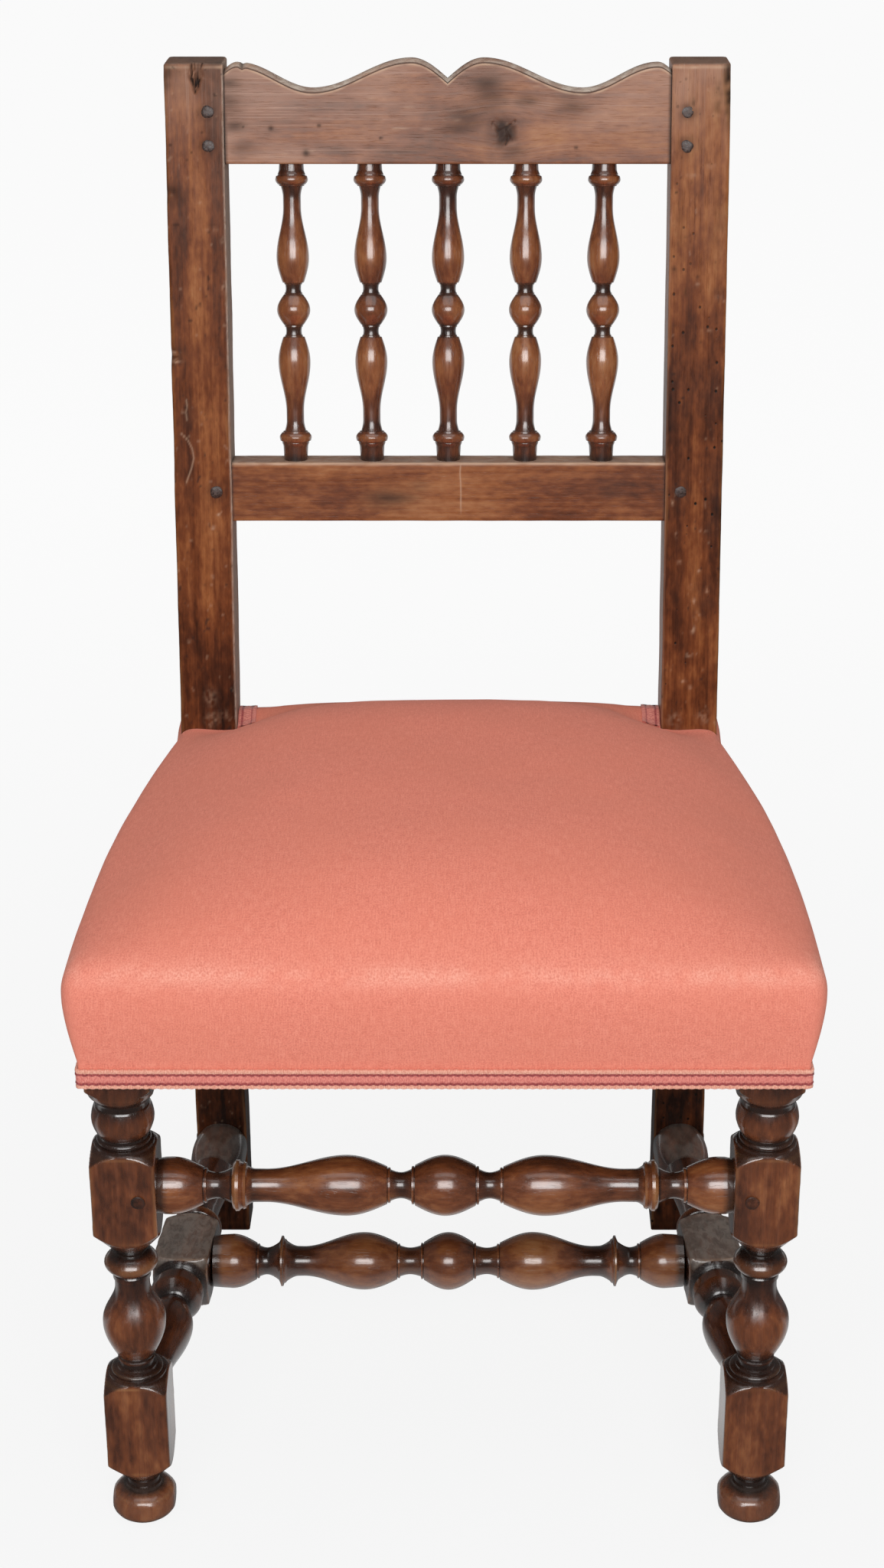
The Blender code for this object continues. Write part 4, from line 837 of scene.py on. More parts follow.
# Pale rubbed spots, given in the same way; the two 213 and 219 mm below the left stile's top are painted
# glints in a dent
STILE_CHIPS_AND_GLINTS = {
    "left": (
        (12, 121, 4, 1.6, 0.5), (19, 128, 1.6, 3, 0.5), (19, 163, 1.6, 4, 0.4), (-19, 213, 3, 1.4, 1.5),
        (-18, 219, 3.4, 1.3, 1.3), (11, 337, 1.6, 1.2, 0.9), (7.5, 347, 1.8, 1.4, 1.0),
        (6, 385, 1.4, 1.2, 0.8), (-14, 436, 1.5, 1.2, 0.6), (2, 481, 4, 6, 0.5), (3, 498, 5, 5, 0.5),
        (13, 495, 3, 3, 0.4),
    ),
    "right": (
        (11, 37, 2.6, 1.6, 0.6), (8, 74, 3, 1.5, 0.4), (-6, 81, 4, 1.5, 0.4), (-1, 161, 3, 1.5, 0.35),
        (16, 171, 2.5, 1.8, 0.35), (8, 196, 4, 1.5, 0.3), (-16, 327, 1.2, 2, 0.8),
        (10, 329, 1.8, 1.4, 1.3), (8, 349, 2.4, 1.2, 1.1), (-12.5, 352, 1, 2, 0.8),
        (-10, 374, 1.4, 1.2, 1.0), (5.5, 381, 1.3, 1.1, 0.9), (-0.5, 393, 1.8, 1.6, 0.6),
        (12, 396, 1.2, 1.8, 1.2), (1.6, 405, 1.8, 2.4, 0.8), (4.7, 416, 2.4, 2.6, 0.7),
        (1.6, 427, 1.6, 3, 0.8), (-0.8, 447, 2.2, 1.3, 1.3), (-4.7, 468, 1.8, 1.2, 1.1),
        (0, 473, 1.4, 1.4, 0.8), (-12, 499, 5, 5, 0.5), (11, 497, 5, 5, 0.45), (-8, 511, 5, 4, 0.6),
        (12, 512, 5, 3, 0.6),
    ),
}
# Tone of a stile at places below its top, in millimetres; the drop to -0.28 below the seat is painted
# shade
STILE_TONES_AND_SHADE = {
    "left": ((0, -0.04), (120, -0.02), (330, -0.05), (480, -0.09), (610, -0.12), (640, -0.28)),
    "right": (
        (0, 0.16), (120, 0.15), (230, -0.11), (330, -0.13), (420, 0.04), (480, 0.10), (610, -0.08),
        (640, -0.28),
    ),
}
# Pale scratches on a stile as places across and below the top in mm
STILE_SCRATCHES = {
    "left": (
        ((-16, 274), (-11, 279), (-7.6, 286), (-6.6, 293), (-8.6, 301), (-12.8, 312)),
        ((-11.4, 248), (-10.8, 253), (-11.9, 258), (-11.2, 264)),
    ),
    "right": (),
}
TOP_HAZE = {"left": 0.42, "right": 0.52}
# Above this place a stile's inner face is painted pale, as a reflection of the floor
INNER_REFLECTION_START = 440 * MM


def patches(marks, along, up):
    """The strongest of some soft oval marks, given as place and reach along and up in mm, and strength."""
    strongest = np.zeros(np.broadcast(along, up).shape)
    for x, z, reach_x, reach_z, strength in marks:
        mark = strength * bell(along - x * MM, reach_x * MM) * bell(up - z * MM, reach_z * MM)
        strongest = np.maximum(strongest, mark)
    return strongest


def smoke_on(marks, places, along, up, seed):
    """Smoke-coloured clouds, given as marks, that break up along the grain."""
    return patches(marks, along, up) * (0.85 + 0.8 * noise_at(places * [0.4, 1, 1.6], 90, seed))


def distance_to(spots, bends):
    """Distance of points in a plane from a line that bends at points given in millimetres."""
    corners = np.array(bends) * MM
    nearest = np.full(len(spots), np.inf)
    for start, end in zip(corners, corners[1:]):
        step = end - start
        share = clamp01((spots - start) @ step / (step @ step))
        nearest = np.minimum(nearest, np.linalg.norm(spots - start - share[:, None] * step, axis=1))
    return nearest


def split_top(across, below_top):
    """The split in the left stile's top: its depth, its dark cracks and the pale fibres between them."""
    places = np.column_stack([across, below_top * 0.5, np.zeros(len(across))])
    shaken = np.column_stack([across, below_top]) + noise_at(places, 420, 2)[:, None] * 0.8 * MM
    width = (0.85 + 0.6 * noise_at(places, 300, 9)) * MM
    dark = np.zeros(len(across))
    for crack in SPLIT_CRACKS:
        dark = np.maximum(dark, bell(distance_to(shaken, crack), width))
    left, right = (np.interp(below_top, *np.array(crack)[:, ::-1].T * MM) for crack in SPLIT_CRACKS[:2])
    inside = clamp01((across - left) / MM) * clamp01((right - across) / MM)
    fibres = clamp01(0.45 + 1.5 * noise_at(places * [2.5, 0.4, 1], 330, 5))
    dark *= clamp01(0.6 + 1.1 * noise_at(places, 260, 9))
    dark = np.maximum(dark, (0.22 + 0.6 * fibres) * inside)
    return SPLIT_DEPTH * (0.25 * inside + 0.45 * dark), dark, inside * (1 - dark)


def stile_section(side, along, seed):
    """A stile's outline at a distance along it: worn corners, drawn in at the top, and below the seat a
    little slimmer on its inner side."""
    below_top = STILE_LENGTH - along
    corners = []
    for corner in range(4):
        spot = [[corner * 5.1, seed, along]]
        worn = 1.9 + 1.3 * noise_at(spot, 30, seed)[0] + 0.8 * noise_at(spot, 150, seed)[0]
        for mark_side, mark_corner, place, reach, extra in WORN_CORNERS:
            if (side, corner) == (mark_side, mark_corner):
                worn += extra * bell(below_top - place * MM, reach * MM)
        corners.append((max(worn, 0.7) * MM,) * 2)
    above = max(0, TOP_ROUNDING - below_top)
    inset = TOP_ROUNDING - math.sqrt(max(TOP_ROUNDING**2 - above**2, 0))
    taper = LEG_TAPER * clamp01((SEAT_RAIL_BOTTOM - along) / (40 * MM))
    low = (-STILE_WIDTH / 2 + inset + taper * (side == "right"), inset)
    high = (STILE_WIDTH / 2 - inset - taper * (side == "left"), STILE_DEPTH - inset)
    return rounded_loop(low, high, corners, edge_steps=(52, 12, 16, 12), corner_steps=5)


def stile_stains_and_shade(side, sign, spots, cracks):
    """Dark marks at points of a stile (across, below its top, deep): stains, painted shade in a dent,
    cracks, peg rings, specks.
    """
    across, level, _ = spots.T
    stain = patches(STILE_STAINS_AND_SHADE[side], across, level)
    stain *= 0.8 + 0.9 * noise_at(spots * [1, 1, 0], 160, sign)
    stain = np.maximum(stain, 0.95 * cracks)
    uneven = 0.8 + 0.8 * noise_at(spots, 190, sign)
    for height in PEG_HEIGHTS:
        peg_level = STILE_LENGTH - RAKE_START - height
        away = np.hypot(across + sign * (STILE_WIDTH / 2 - PEG_INSET), level - peg_level)
        stain = np.maximum(stain, 0.6 * bell(away, 7.2 * MM) * uneven)
    return np.maximum(stain, 0.6 * clamp01(noise_at(spots, 260, sign + 6) * 6 - 3.4))


def stile_bare(side, sign, spots, chips_and_glints):
    """Pale marks at points of a stile: scratches, specks, chips with two painted glints, and the worn edge
    of its top.
    """
    below_top = spots[:, 1]
    pale = [
        0.22 * clamp01(noise_at(spots, 260, sign + 3) * 6 - 3.6),
        0.6 * chips_and_glints * (0.6 + 1.6 * noise_at(spots, 420, sign)),
        bell(below_top - 2.6 * MM, 1.1 * MM) * (0.6 + 0.7 * noise_at(spots, 150, sign)),
    ]
    for scratch in STILE_SCRATCHES[side]:
        pale.append(0.5 * bell(distance_to(spots[:, :2], scratch), 0.6 * MM))
    return np.maximum.reduce(pale)


def stile_marks(side, sign, across, deep, along):
    """Depth of the split and the fields of marks at the points of a stile's section."""
    below_top = STILE_LENGTH - along
    level = np.full(len(across), below_top)
    spots = np.column_stack([across, level, deep])
    cut, cracks, fibres = np.zeros((3, len(across)))
    if side == "left" and below_top < SPLIT_LENGTH:
        cut, cracks, fibres = split_top(across, level)
    on_front = clamp01(1.6 - deep / (6 * MM))
    end_grain = clamp01(1 - below_top / (1.2 * MM))
    chips_and_glints = patches(STILE_CHIPS_AND_GLINTS[side], across, level)
    stain = stile_stains_and_shade(side, sign, spots, cracks) * (1 - clamp01(1.2 * chips_and_glints))
    bare = stile_bare(side, sign, spots, chips_and_glints) * (1 - cracks)
    # Painted reflection on the inner face: pale haze, and on the left stile pale dust too
    painted_inner_reflection = clamp01((-sign * across - STILE_WIDTH / 2 + 1.6 * MM) / MM)
    painted_inner_reflection *= clamp01((along - INNER_REFLECTION_START) / (20 * MM))
    haze = TOP_HAZE[side] * bell(level, 42 * MM) + 0.10 * bell(level, 120 * MM)
    haze *= 1 + 0.7 * noise_at(spots * [1, 0.5, 1], 60, sign)
    tone = 0.05 * bell(across, 11 * MM) - 0.02 + np.interp(below_top / MM, *zip(*STILE_TONES_AND_SHADE[side]))
    return cut * on_front, {
        "stain": np.maximum(clamp01(stain) * on_front, 0.5 * end_grain),
        "dust": np.maximum(0.28 * end_grain, 0.6 * painted_inner_reflection * (side == "left")),
        "bare": np.maximum(bare, 0.14 * fibres) * on_front,
        "bloom": haze + 0.45 * painted_inner_reflection,
        "worm": clamp01(0.25 + level / (320 * MM)) * (side == "right"),
        "tone": tone - 0.07 * bell(along - SEAT_EDGE - 25 * MM, 30 * MM),
    }


def stile_row(side, sign, along, seed):
    """A stile's section at a distance along its bent faces: its points, the grain's run and its marks."""
    across, deep = stile_section(side, along, seed).T
    cut, marks = stile_marks(side, sign, across, deep, along)
    deep = deep + cut
    if along < RAKE_START:
        behind = along * BACK_BEND / RAKE_START
    else:
        above = (along - RAKE_START) / (STILE_LENGTH - RAKE_START)
        behind = BACK_BEND + above * (BACK_LENGTH - BACK_BEND)
    front = bent(along, REAR_Y, RAKE_START)
    back = bent(behind, REAR_Y + STILE_DEPTH, BACK_BEND)
    section = front + (back - front) * (deep / STILE_DEPTH)[:, None]
    run = np.column_stack([across, deep, np.full(len(across), along)])
    return np.column_stack([sign * REAR_X + across, section]), run, marks


def add_stile(side, sign, seed):
    """A stile as sections along its bent faces, closer together in its upper end."""
    top_rows = STILE_LENGTH - np.array([46, 3, 2, 1.2, 0.6, 0.2, 0]) * MM
    upper_rows = np.linspace(top_rows[0], top_rows[1], 60)[1:]
    rows = np.concatenate([np.linspace(0, top_rows[0], 500), upper_rows, top_rows[2:]])
    sections = [stile_row(side, sign, along, seed) for along in rows]
    add_lofted_wood(f"stile_{side}_wood", sections, seed, shake=(22, 0.35, 0.35), finish="walnut_post")


def add_lofted_wood(name, sections, seed, shake, place=None, finish=None):
    """A wooden piece from its sections, each given as its points, the grain's run and its marks. Shake is
    the scale of the unevenness of its faces, and its swing along X and Y in millimetres."""
    rings, runs, marks = zip(*sections)
    rings, runs = np.array(rings), np.array(runs)
    scale, swing_x, swing_y = shake
    rings += noise_at(rings, scale, seed)[..., None] * np.array([swing_x, swing_y, 0]) * MM
    points, faces = loft(rings)
    grain = np.vstack([runs.reshape(-1, 3), runs[0].mean(0), runs[-1].mean(0)])
    fields = {key: with_ends(clamp_field(key, [mark[key] for mark in marks])) for key in marks[0]}
    add_wood(name, points, faces, seed, place, fields, grain, finish=finish)


def clamp_field(key, rows):
    """Rows of a field as one array; every field but the tone is a share from 0 to 1."""
    values = np.array(rows, float)
    return values if key == "tone" else clamp01(values)


CREST_HALF = ((0, 0.81), (0.162, 1, rise), (0.605, 0.72, ease), (0.940, 0.96, ease), (1, 0.89, fall))
LIP_HEIGHT, NICK_AT = 4.6 * MM, -153 * MM
KNOT = (42 * MM, 25 * MM)
KNOT_REACH = 12 * MM
# The knot's crack as points about its middle, in millimetres
KNOT_CRACK = ((-8, 5), (-4, -1), (1, 1), (8, 6), (1, 1), (4, -6), (1, -11))
# Marks on the crest: place along it and above its lower edge, reach along and up, and strength
CREST_SMOKE = (
    (31, 53, 14, 15, 0.72), (13, 30, 18, 11, 0.62), (38, 25, 17, 17, 0.45), (48, 9, 10, 7, 0.60),
    (92, 44, 14, 9, 0.50), (60, 46, 13, 7, 0.38), (-164, 51, 11, 17, 0.58), (-160, 28, 8, 5, 0.66),
    (-153, 11, 8, 5, 0.60), (-90, 62, 30, 8, 0.12),
)
CREST_WARM = (
    (74, 20, 20, 10, 0.95), (126, 17, 40, 9, 0.8), (54, 59, 12, 9, 0.6), (-92, 22, 45, 7, 0.7),
    (-22, 58, 18, 9, 0.6), (20, 8, 14, 7, 0.5),
)
# Dark spots on the crest: place along it and above its lower edge, and reach
CREST_SPOTS = (
    (-132, 26, 2.0), (-153, 27, 1.2), (-96, 28, 1.4), (-50, 19, 1.2), (-106, 8, 2.8), (96, 12, 1.3),
)
# Pale scratches along the crest: their ends, their height and strength
CREST_SCRATCHES = (
    (-63, -45, 47, 0.6), (-4, 16, 32, 0.7), (-50, -8, 25.5, 0.6), (-130, -119, 8, 0.6),
    (-117, -94, 9.5, 0.5), (-50, -35, 7, 0.5), (-34, -12, 41, 0.35), (-110, -70, 33, 0.25),
    (100, 150, 36, 0.25), (60, 92, 56, 0.3),
)


def crest_height(share):
    """Height of the crest rail as a share of its greatest, at a share of its half length."""
    for (start, old, *_), (end, new, curve) in zip(CREST_HALF, CREST_HALF[1:]):
        if share <= end:
            return old + (new - old) * float(curve((share - start) / (end - start)))
    return CREST_HALF[-1][1]


def crest_section(high, worn):
    """A loop (depth, height): front face, a fillet at its upper edge, rounded lip, back and underside."""
    face_top = high - LIP_HEIGHT
    arris = face_top - np.array([2.4, 1.7, 1.1, 0.6, 0.25, 0]) * MM
    levels = np.concatenate([np.linspace(worn, face_top - 3.2 * MM, 84), arris])
    front = np.column_stack([np.zeros(len(levels)), levels])
    fillet = np.array([(0.10, 0.25), (0.4, 0.42), (1.15, 0.5), (1.35, 0.75)]) * MM + [0, face_top]
    turn = np.linspace(0, math.pi / 2, 10)[1:]
    lip_rise = LIP_HEIGHT - 0.75 * MM
    lip = np.column_stack([10 * MM - 8.65 * MM * np.cos(turn), high - lip_rise * (1 - np.sin(turn))])
    corner_steps, edge_steps = 6, (8, 14, 8, 8)
    corners = ((worn, worn), (worn, worn), (3 * MM, 3 * MM), (12 * MM, 3 * MM))
    loop = rounded_loop((0, 0), (BACK_RAIL_THICKNESS, high), corners, edge_steps, corner_steps)
    # Of this plain outline only the top behind the lip, the back and the underside are used
    used = 3 * corner_steps + sum(edge_steps[:3]) - 3
    return np.vstack([front, fillet, lip, loop[used - 1:0:-1]])


def crest_knot(x, up, places):
    """The knot: how far a point lies inside it, how far in its crack, and its pale glints."""
    away_x, away_up = x - KNOT[0], up - KNOT[1]
    away = np.hypot(away_x, (away_up + 3 * MM) / 1.25) + noise_at(places, 110, 3.1) * 4 * MM
    inside = clamp01((KNOT_REACH - away) / (8 * MM))
    spots = np.column_stack([away_x, away_up]) + noise_at(places, 300, 6)[:, None] * 0.9 * MM
    nearest = distance_to(spots, KNOT_CRACK)
    crack = bell(nearest, 0.8 * MM) * clamp01(0.8 + 1.2 * noise_at(places, 230, 4))
    # Painted highlights: pale glints round the crack
    glint = clamp01(noise_at(places, 330, 8) * 2.2 - 0.35) * inside * bell(nearest - 2.2 * MM, 1.6 * MM)
    return inside, crack, glint


def crest_scratches(along, up, places):
    """How far a point lies in one of the pale scratches, which wander a little and break off."""
    pale = np.zeros(len(up))
    for start, end, level, strength in CREST_SCRATCHES:
        inside = clamp01((along / MM - start) / 4) * clamp01((end - along / MM) / 4)
        wander = level * MM + noise_at(places * [1, 0, 0], 45, level) * 1.3 * MM
        pale = np.maximum(pale, strength * inside * bell(up - wander, 0.75 * MM))
    return 0.8 * pale * clamp01(0.3 + 1.8 * noise_at(places, 130, 7))


def crest_stains_and_shadows(places, face_top, on_front, on_lip, knot, crack):
    """Dark marks on the crest: knot, crack, smoke, spots, the shadows of lip and joints, and the nick."""
    along, deep, up = places.T
    on_face = [0.85 * knot, 0.95 * crack, smoke_on(CREST_SMOKE, places, along, up, 5.2)]
    for x, height, reach in CREST_SPOTS:
        on_face.append(0.8 * bell(np.hypot(along - x * MM, up - height * MM), reach * MM))
    # Painted shadow: a dark line under the lip's fillet
    fillet = bell(up - face_top - 0.45 * MM, 0.42 * MM) * (deep < 2 * MM)
    joint = bell(BACK_HALF_SPAN - np.abs(along), 1.5 * MM)
    nick = bell(along - NICK_AT, 1.6 * MM) * on_lip
    face = np.maximum.reduce(on_face) * on_front
    return np.maximum.reduce([face, 0.85 * fillet, 0.95 * joint, 0.7 * nick])


def crest_marks(places, high, seed):
    """How deep the knot lies and the fields of marks at the points of a section of the crest."""
    along, deep, up = places.T
    face_top = high - LIP_HEIGHT
    on_front = clamp01(1 - deep / (1.2 * MM))
    on_lip = clamp01((up - face_top - 0.6 * MM) / (0.3 * MM))
    on_rise = clamp01((high / CREST_HEIGHT - 0.74) / 0.22)
    knot, crack, glint = crest_knot(along, up, places)
    pressed = on_front * (knot * (0.3 + noise_at(places, 260, 8)) + crack) * 0.6 * MM
    arris = bell(face_top - up - 0.5 * MM, 0.9 * MM) * (0.75 + 0.9 * noise_at(places, 120, 4))
    pale = np.maximum.reduce([arris, 0.75 * glint, crest_scratches(along, up, places)])
    warm = patches(CREST_WARM, along, up)
    upper, leftward = clamp01(up / CREST_HEIGHT), clamp01(-along / BACK_HALF_SPAN)
    bloom = (0.29 + 0.34 * leftward + 0.30 * upper) * (1 - 0.75 * warm)
    bloom += 0.12 * noise_at(places, 26, seed) + 0.14 * noise_at(places * [0.3, 1, 1], 110, seed)
    return pressed, {
        "stain": crest_stains_and_shadows(places, face_top, on_front, on_lip, knot, crack),
        "bare": pale * on_front,
        # The lip's pale coat: dust and a painted reflection of the backdrop
        "dust": on_lip * (1.0 - 0.42 * on_rise + 0.45 * noise_at(places, 60, 9)),
        "bloom": bloom * (1 - on_lip),
        "tone": 0.05 + 0.18 * warm * on_front - 0.05 * upper,
    }


def crest_row(share, seed):
    """The crest's section at a share of its half length: its points, the grain's run and its marks. The
    grain bends round the knot."""
    x = share * BACK_HALF_SPAN
    worn = (1.4 + 0.7 * noise_at([[x, 0, 0]], 60, seed)[0]) * MM
    high = CREST_HEIGHT * crest_height(abs(share)) - 1.5 * MM * bell(x - NICK_AT, 1.8 * MM)
    deep, up = crest_section(high, worn).T
    along = np.full(len(deep), x)
    pressed, marks = crest_marks(np.column_stack([along, deep, up]), high, seed)
    bulge = bell(x - KNOT[0], 32 * MM) * bell(up - KNOT[1], 22 * MM)
    run = np.column_stack([deep, up - 0.6 * bulge * (up - KNOT[1]), along])
    return np.column_stack([along, RAIL_SETBACK + deep + pressed, CREST_BOTTOM + up]), run, marks


def add_crest_rail(seed):
    """The crest rail as sections along X, closer together at its knot."""
    half = np.linspace(0, 1, 120)
    near_knot = np.arange(KNOT[0] - 15 * MM, KNOT[0] + 15 * MM, 0.7 * MM) / BACK_HALF_SPAN
    shares = np.unique(np.concatenate([-half, half, near_knot]))
    sections = [crest_row(share, seed) for share in shares]
    add_lofted_wood("crest_rail_wood", sections, seed, shake=(18, 0, 0.4), place=BACK_FRAME)


RAIL_SCRATCH, RAIL_SLOPE = 9.3 * MM, 2.6 * MM
# Marks on the lower rail, given as those on the crest
RAIL_SMOKE = ((-46, 18, 22, 9, 0.6), (-24, 26, 10, 6, 0.3), (128, 24, 14, 10, 0.22))


def lower_rail_marks(places):
    """The fields of marks at points of the lower rail: its scratch, worn edge, smoke, dust with a painted
    sheen on its top, and joints.
    """
    along, deep, up = (places - [0, RAIL_SETBACK, LOWER_RAIL_BOTTOM]).T
    on_front = clamp01(1 - deep / (2.5 * MM))
    wander = noise_at(places * [0, 0, 1], 70, 4) * 1.3 * MM
    scratch = 0.6 * bell(along - RAIL_SCRATCH - wander, 0.6 * MM) * clamp01((up - 4 * MM) / (8 * MM))
    below_edge = LOWER_RAIL_HEIGHT - 0.5 * MM - up
    arris = bell(below_edge, 1.1 * MM) * (0.9 + 0.9 * noise_at(places, 80, 3))
    smoke = smoke_on(RAIL_SMOKE, places, along, up, 2.2)
    joint = bell(BACK_HALF_SPAN - np.abs(along), 1.0 * MM)
    warm = 0.05 * bell(along - 30 * MM, 25 * MM)
    return {
        # The top face's pale coat: dust and a painted sheen
        "dust": 0.5 * clamp01((up - LOWER_RAIL_HEIGHT + 0.8 * MM) / (0.5 * MM)),
        "bare": np.maximum(scratch, arris) * on_front,
        "stain": np.maximum(smoke * on_front, 0.6 * joint),
        "tone": 0.11 - 0.08 * clamp01(along / BACK_HALF_SPAN) + warm,
    }


def lower_rail_row(x, seed):
    """The lower rail's section at a place along X: its points, the grain's run and its marks. Its top
    slopes forwards a little."""
    corners = []
    for corner in range(4):
        worn = 1.5 + 0.9 * noise_at([[x, corner * 3.3, 0]], 45, seed)[0]
        corners.append((max(worn, 0.6) * MM,) * 2)
    high = (BACK_RAIL_THICKNESS, LOWER_RAIL_HEIGHT)
    loop = rounded_loop((0, 0), high, corners, edge_steps=(8, 16, 8, 32), corner_steps=5)
    deep, up = loop.T
    up = up + RAIL_SLOPE * deep / BACK_RAIL_THICKNESS * up / LOWER_RAIL_HEIGHT
    along = np.full(len(loop), x)
    places = np.column_stack([along, RAIL_SETBACK + deep, LOWER_RAIL_BOTTOM + up])
    return places, np.column_stack([loop, along]), lower_rail_marks(places)


def add_lower_back_rail(seed):
    """The lower rail as sections along X, closer together at the scratch that crosses it."""
    near_scratch = RAIL_SCRATCH + np.linspace(-2, 2, 11) * MM
    even = np.linspace(-BACK_HALF_SPAN, BACK_HALF_SPAN, 180)
    sections = [lower_rail_row(x, seed) for x in np.unique(np.concatenate([even, near_scratch]))]
    add_lofted_wood("lower_back_rail_wood", sections, seed, shake=(20, 0, 0.35), place=BACK_FRAME)


# Pegs

PEG_SIDES = 20
# A peg from its hidden end to its head: place along it in mm, and share of the head's radius
PEG_PROFILE = (
    (-7, 0.84), (-1.2, 0.86), (-0.4, 1.0), (0.0, 0.97), (0.25, 0.84), (0.35, 0.55), (0.4, 0.2),
)


def add_peg(name, seed, place, finish=None):
    """A peg along its own Z with an uneven domed head at the origin, which points to +Z."""
    angles = np.arange(PEG_SIDES) / PEG_SIDES * TAU
    heights, shares = np.array(PEG_PROFILE).T
    around = np.stack([np.cos(angles), np.sin(angles), np.zeros(PEG_SIDES)], 1)
    uneven = 1 + 0.08 * noise_at(around, 1.3, seed)
    rings = around[None] * (shares[:, None] * uneven[None] * PEG_HEAD / 2)[..., None]
    rings[..., 2] = heights[:, None] * MM + noise_at(rings, 350, seed) * 0.22 * MM
    points, faces = loft(rings)
    rim = with_ends(np.repeat(clamp01((shares - 0.7) / 0.3)[:, None], PEG_SIDES, 1))
    fields = {"stain": rim * 0.5, "tone": np.full(len(points), -0.30)}
    add_wood(name, points, faces, seed, place, fields, slot="peg_wood", finish=finish)


def add_pegs():
    forward = Matrix.Rotation(math.pi / 2, 4, "X")
    for side, sign in SIDES:
        beside = sign * (BACK_HALF_SPAN + CLEARANCE + PEG_INSET)
        nodes = (f"crest_peg_{side}_1", f"crest_peg_{side}_2", f"lower_rail_peg_{side}")
        for i, (node, height) in enumerate(zip(nodes, PEG_HEIGHTS)):
            place = BACK_FRAME @ Matrix.Translation((beside, 0, height)) @ forward
            add_peg(f"{node}_wood", 2.3 * i + sign, place)
        outward = Matrix.Rotation(sign * math.pi / 2, 4, "Y")
        faces = {
            f"front_stretcher_peg_{side}": (1, 0, forward),
            f"side_stretcher_peg_{side}_front": (0, sign, outward),
            f"side_stretcher_peg_{side}_rear": (0, sign, outward),
            f"cross_stretcher_peg_{side}": (2, 0, Matrix.Rotation(math.pi, 4, "X")),
        }
        for i, (node, (axis, way, turn)) in enumerate(faces.items()):
            low, high = (Vector(corner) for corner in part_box(node))
            spot = (low + high) / 2
            if axis == 0:
                spot.x = high.x if way > 0 else low.x
            else:
                spot[axis] = low[axis]
            add_peg(f"{node}_wood", 5.9 * i + sign, Matrix.Translation(spot) @ turn, "walnut_turned")


# Seat

COVER_GAP, COVER_BULGE, REAR_BULGE, SIDE_BOW = 2.5 * MM, 8.4 * MM, 2.5 * MM, 9 * MM
TOP_CORNER, FOLDED_CORNER = 14 * MM, 2 * MM
LEG_BACK = FRONT_Y + LEG_BLOCK / 2
ROLL_END = math.radians(62)
# Rings of the seat's skin on its straight lower edge, its sides, its roll and its crown
EDGE_RINGS, SIDE_RINGS, ROLL_RINGS, CROWN_RINGS = 6, 17, 11, 44
# The ring in the middle of the roll, from which the cloth hangs down
ROLL_ROW = EDGE_RINGS + SIDE_RINGS + ROLL_RINGS // 2
# The rings that are evened out, from just below the roll to near the middle
EVENED = slice(EDGE_RINGS + SIDE_RINGS - 3, -6)
EVENING_PASSES = 10
CORNER_DIP, BACK_RIDGE = 9 * MM, 6 * MM
CUTTER_HEIGHT = 300 * MM
SEAT_SEED = 4.4


def stile_front(height):
    return REAR_Y + (height - RAKE_START) * math.tan(RAKE)


def stile_back(height):
    return stile_front(height) + STILE_DEPTH / math.cos(RAKE)


def seat_outline(height, swell, grow):
    """The seat's plan at a height, as points round it from the front left corner."""
    bulge, rear_bulge, bow = COVER_BULGE * swell, REAR_BULGE * swell, SIDE_BOW * swell
    reach = COVER_GAP + grow
    front_x = FRONT_X + LEG_BLOCK / 2 + reach + bulge
    rear_x = REAR_X + STILE_WIDTH / 2 + reach + rear_bulge
    front_y = FRONT_Y - LEG_BLOCK / 2 - reach - bulge
    back_y = stile_back(height) + reach + rear_bulge
    stile_face = stile_front(SEAT_RAIL_MIDDLE)
    front_corner = FOLDED_CORNER + (TOP_CORNER - FOLDED_CORNER) * swell
    # Corners: X, Y, radius, steps round it, then the steps and the bow along X of the edge that follows
    plan = (
        (-front_x, front_y, front_corner, 10, 70, 0),
        (front_x, front_y, front_corner, 10, 8, 0),
        (front_x, LEG_BACK, 0, 0, 56, bow),
        (rear_x, stile_face, 0, 0, 12, 0),
        (rear_x, back_y, FOLDED_CORNER, 4, 56, 0),
        (-rear_x, back_y, FOLDED_CORNER, 4, 12, 0),
        (-rear_x, stile_face, 0, 0, 56, -bow),
        (-front_x, LEG_BACK, 0, 0, 8, 0),
    )
    return rounded_plan(plan)


def rounded_plan(plan):
    """Points round a plan with rounded corners and bowed edges."""
    corners = [np.array([x, y]) for x, y, *_ in plan]
    arcs = []
    for i, (_, _, radius, steps, _, _) in enumerate(plan):
        before, corner, after = corners[i - 1], corners[i], corners[(i + 1) % len(plan)]
        start = corner + (before - corner) / np.linalg.norm(before - corner) * radius
        end = corner + (after - corner) / np.linalg.norm(after - corner) * radius
        t = np.linspace(0, 1, steps + 1)[:, None]
        arcs.append(start * (1 - t) ** 2 + corner * 2 * t * (1 - t) + end * t**2)
    points = []
    for i, (*_, steps, out) in enumerate(plan):
        stop = arcs[(i + 1) % len(plan)][0]
        share = np.arange(1, steps)[:, None] / steps
        edge = arcs[i][-1] + (stop - arcs[i][-1]) * share
        edge[:, 0] += out * np.sin(np.pi * share[:, 0])
        points += [arcs[i], edge]
    return np.vstack(points)


def side_outer_x(y):
    share = clamp01((y - LEG_BACK) / (stile_front(SEAT_RAIL_MIDDLE) - LEG_BACK))
    front, rear = FRONT_X + LEG_BLOCK / 2, REAR_X + STILE_WIDTH / 2
    return front + (rear - front) * share


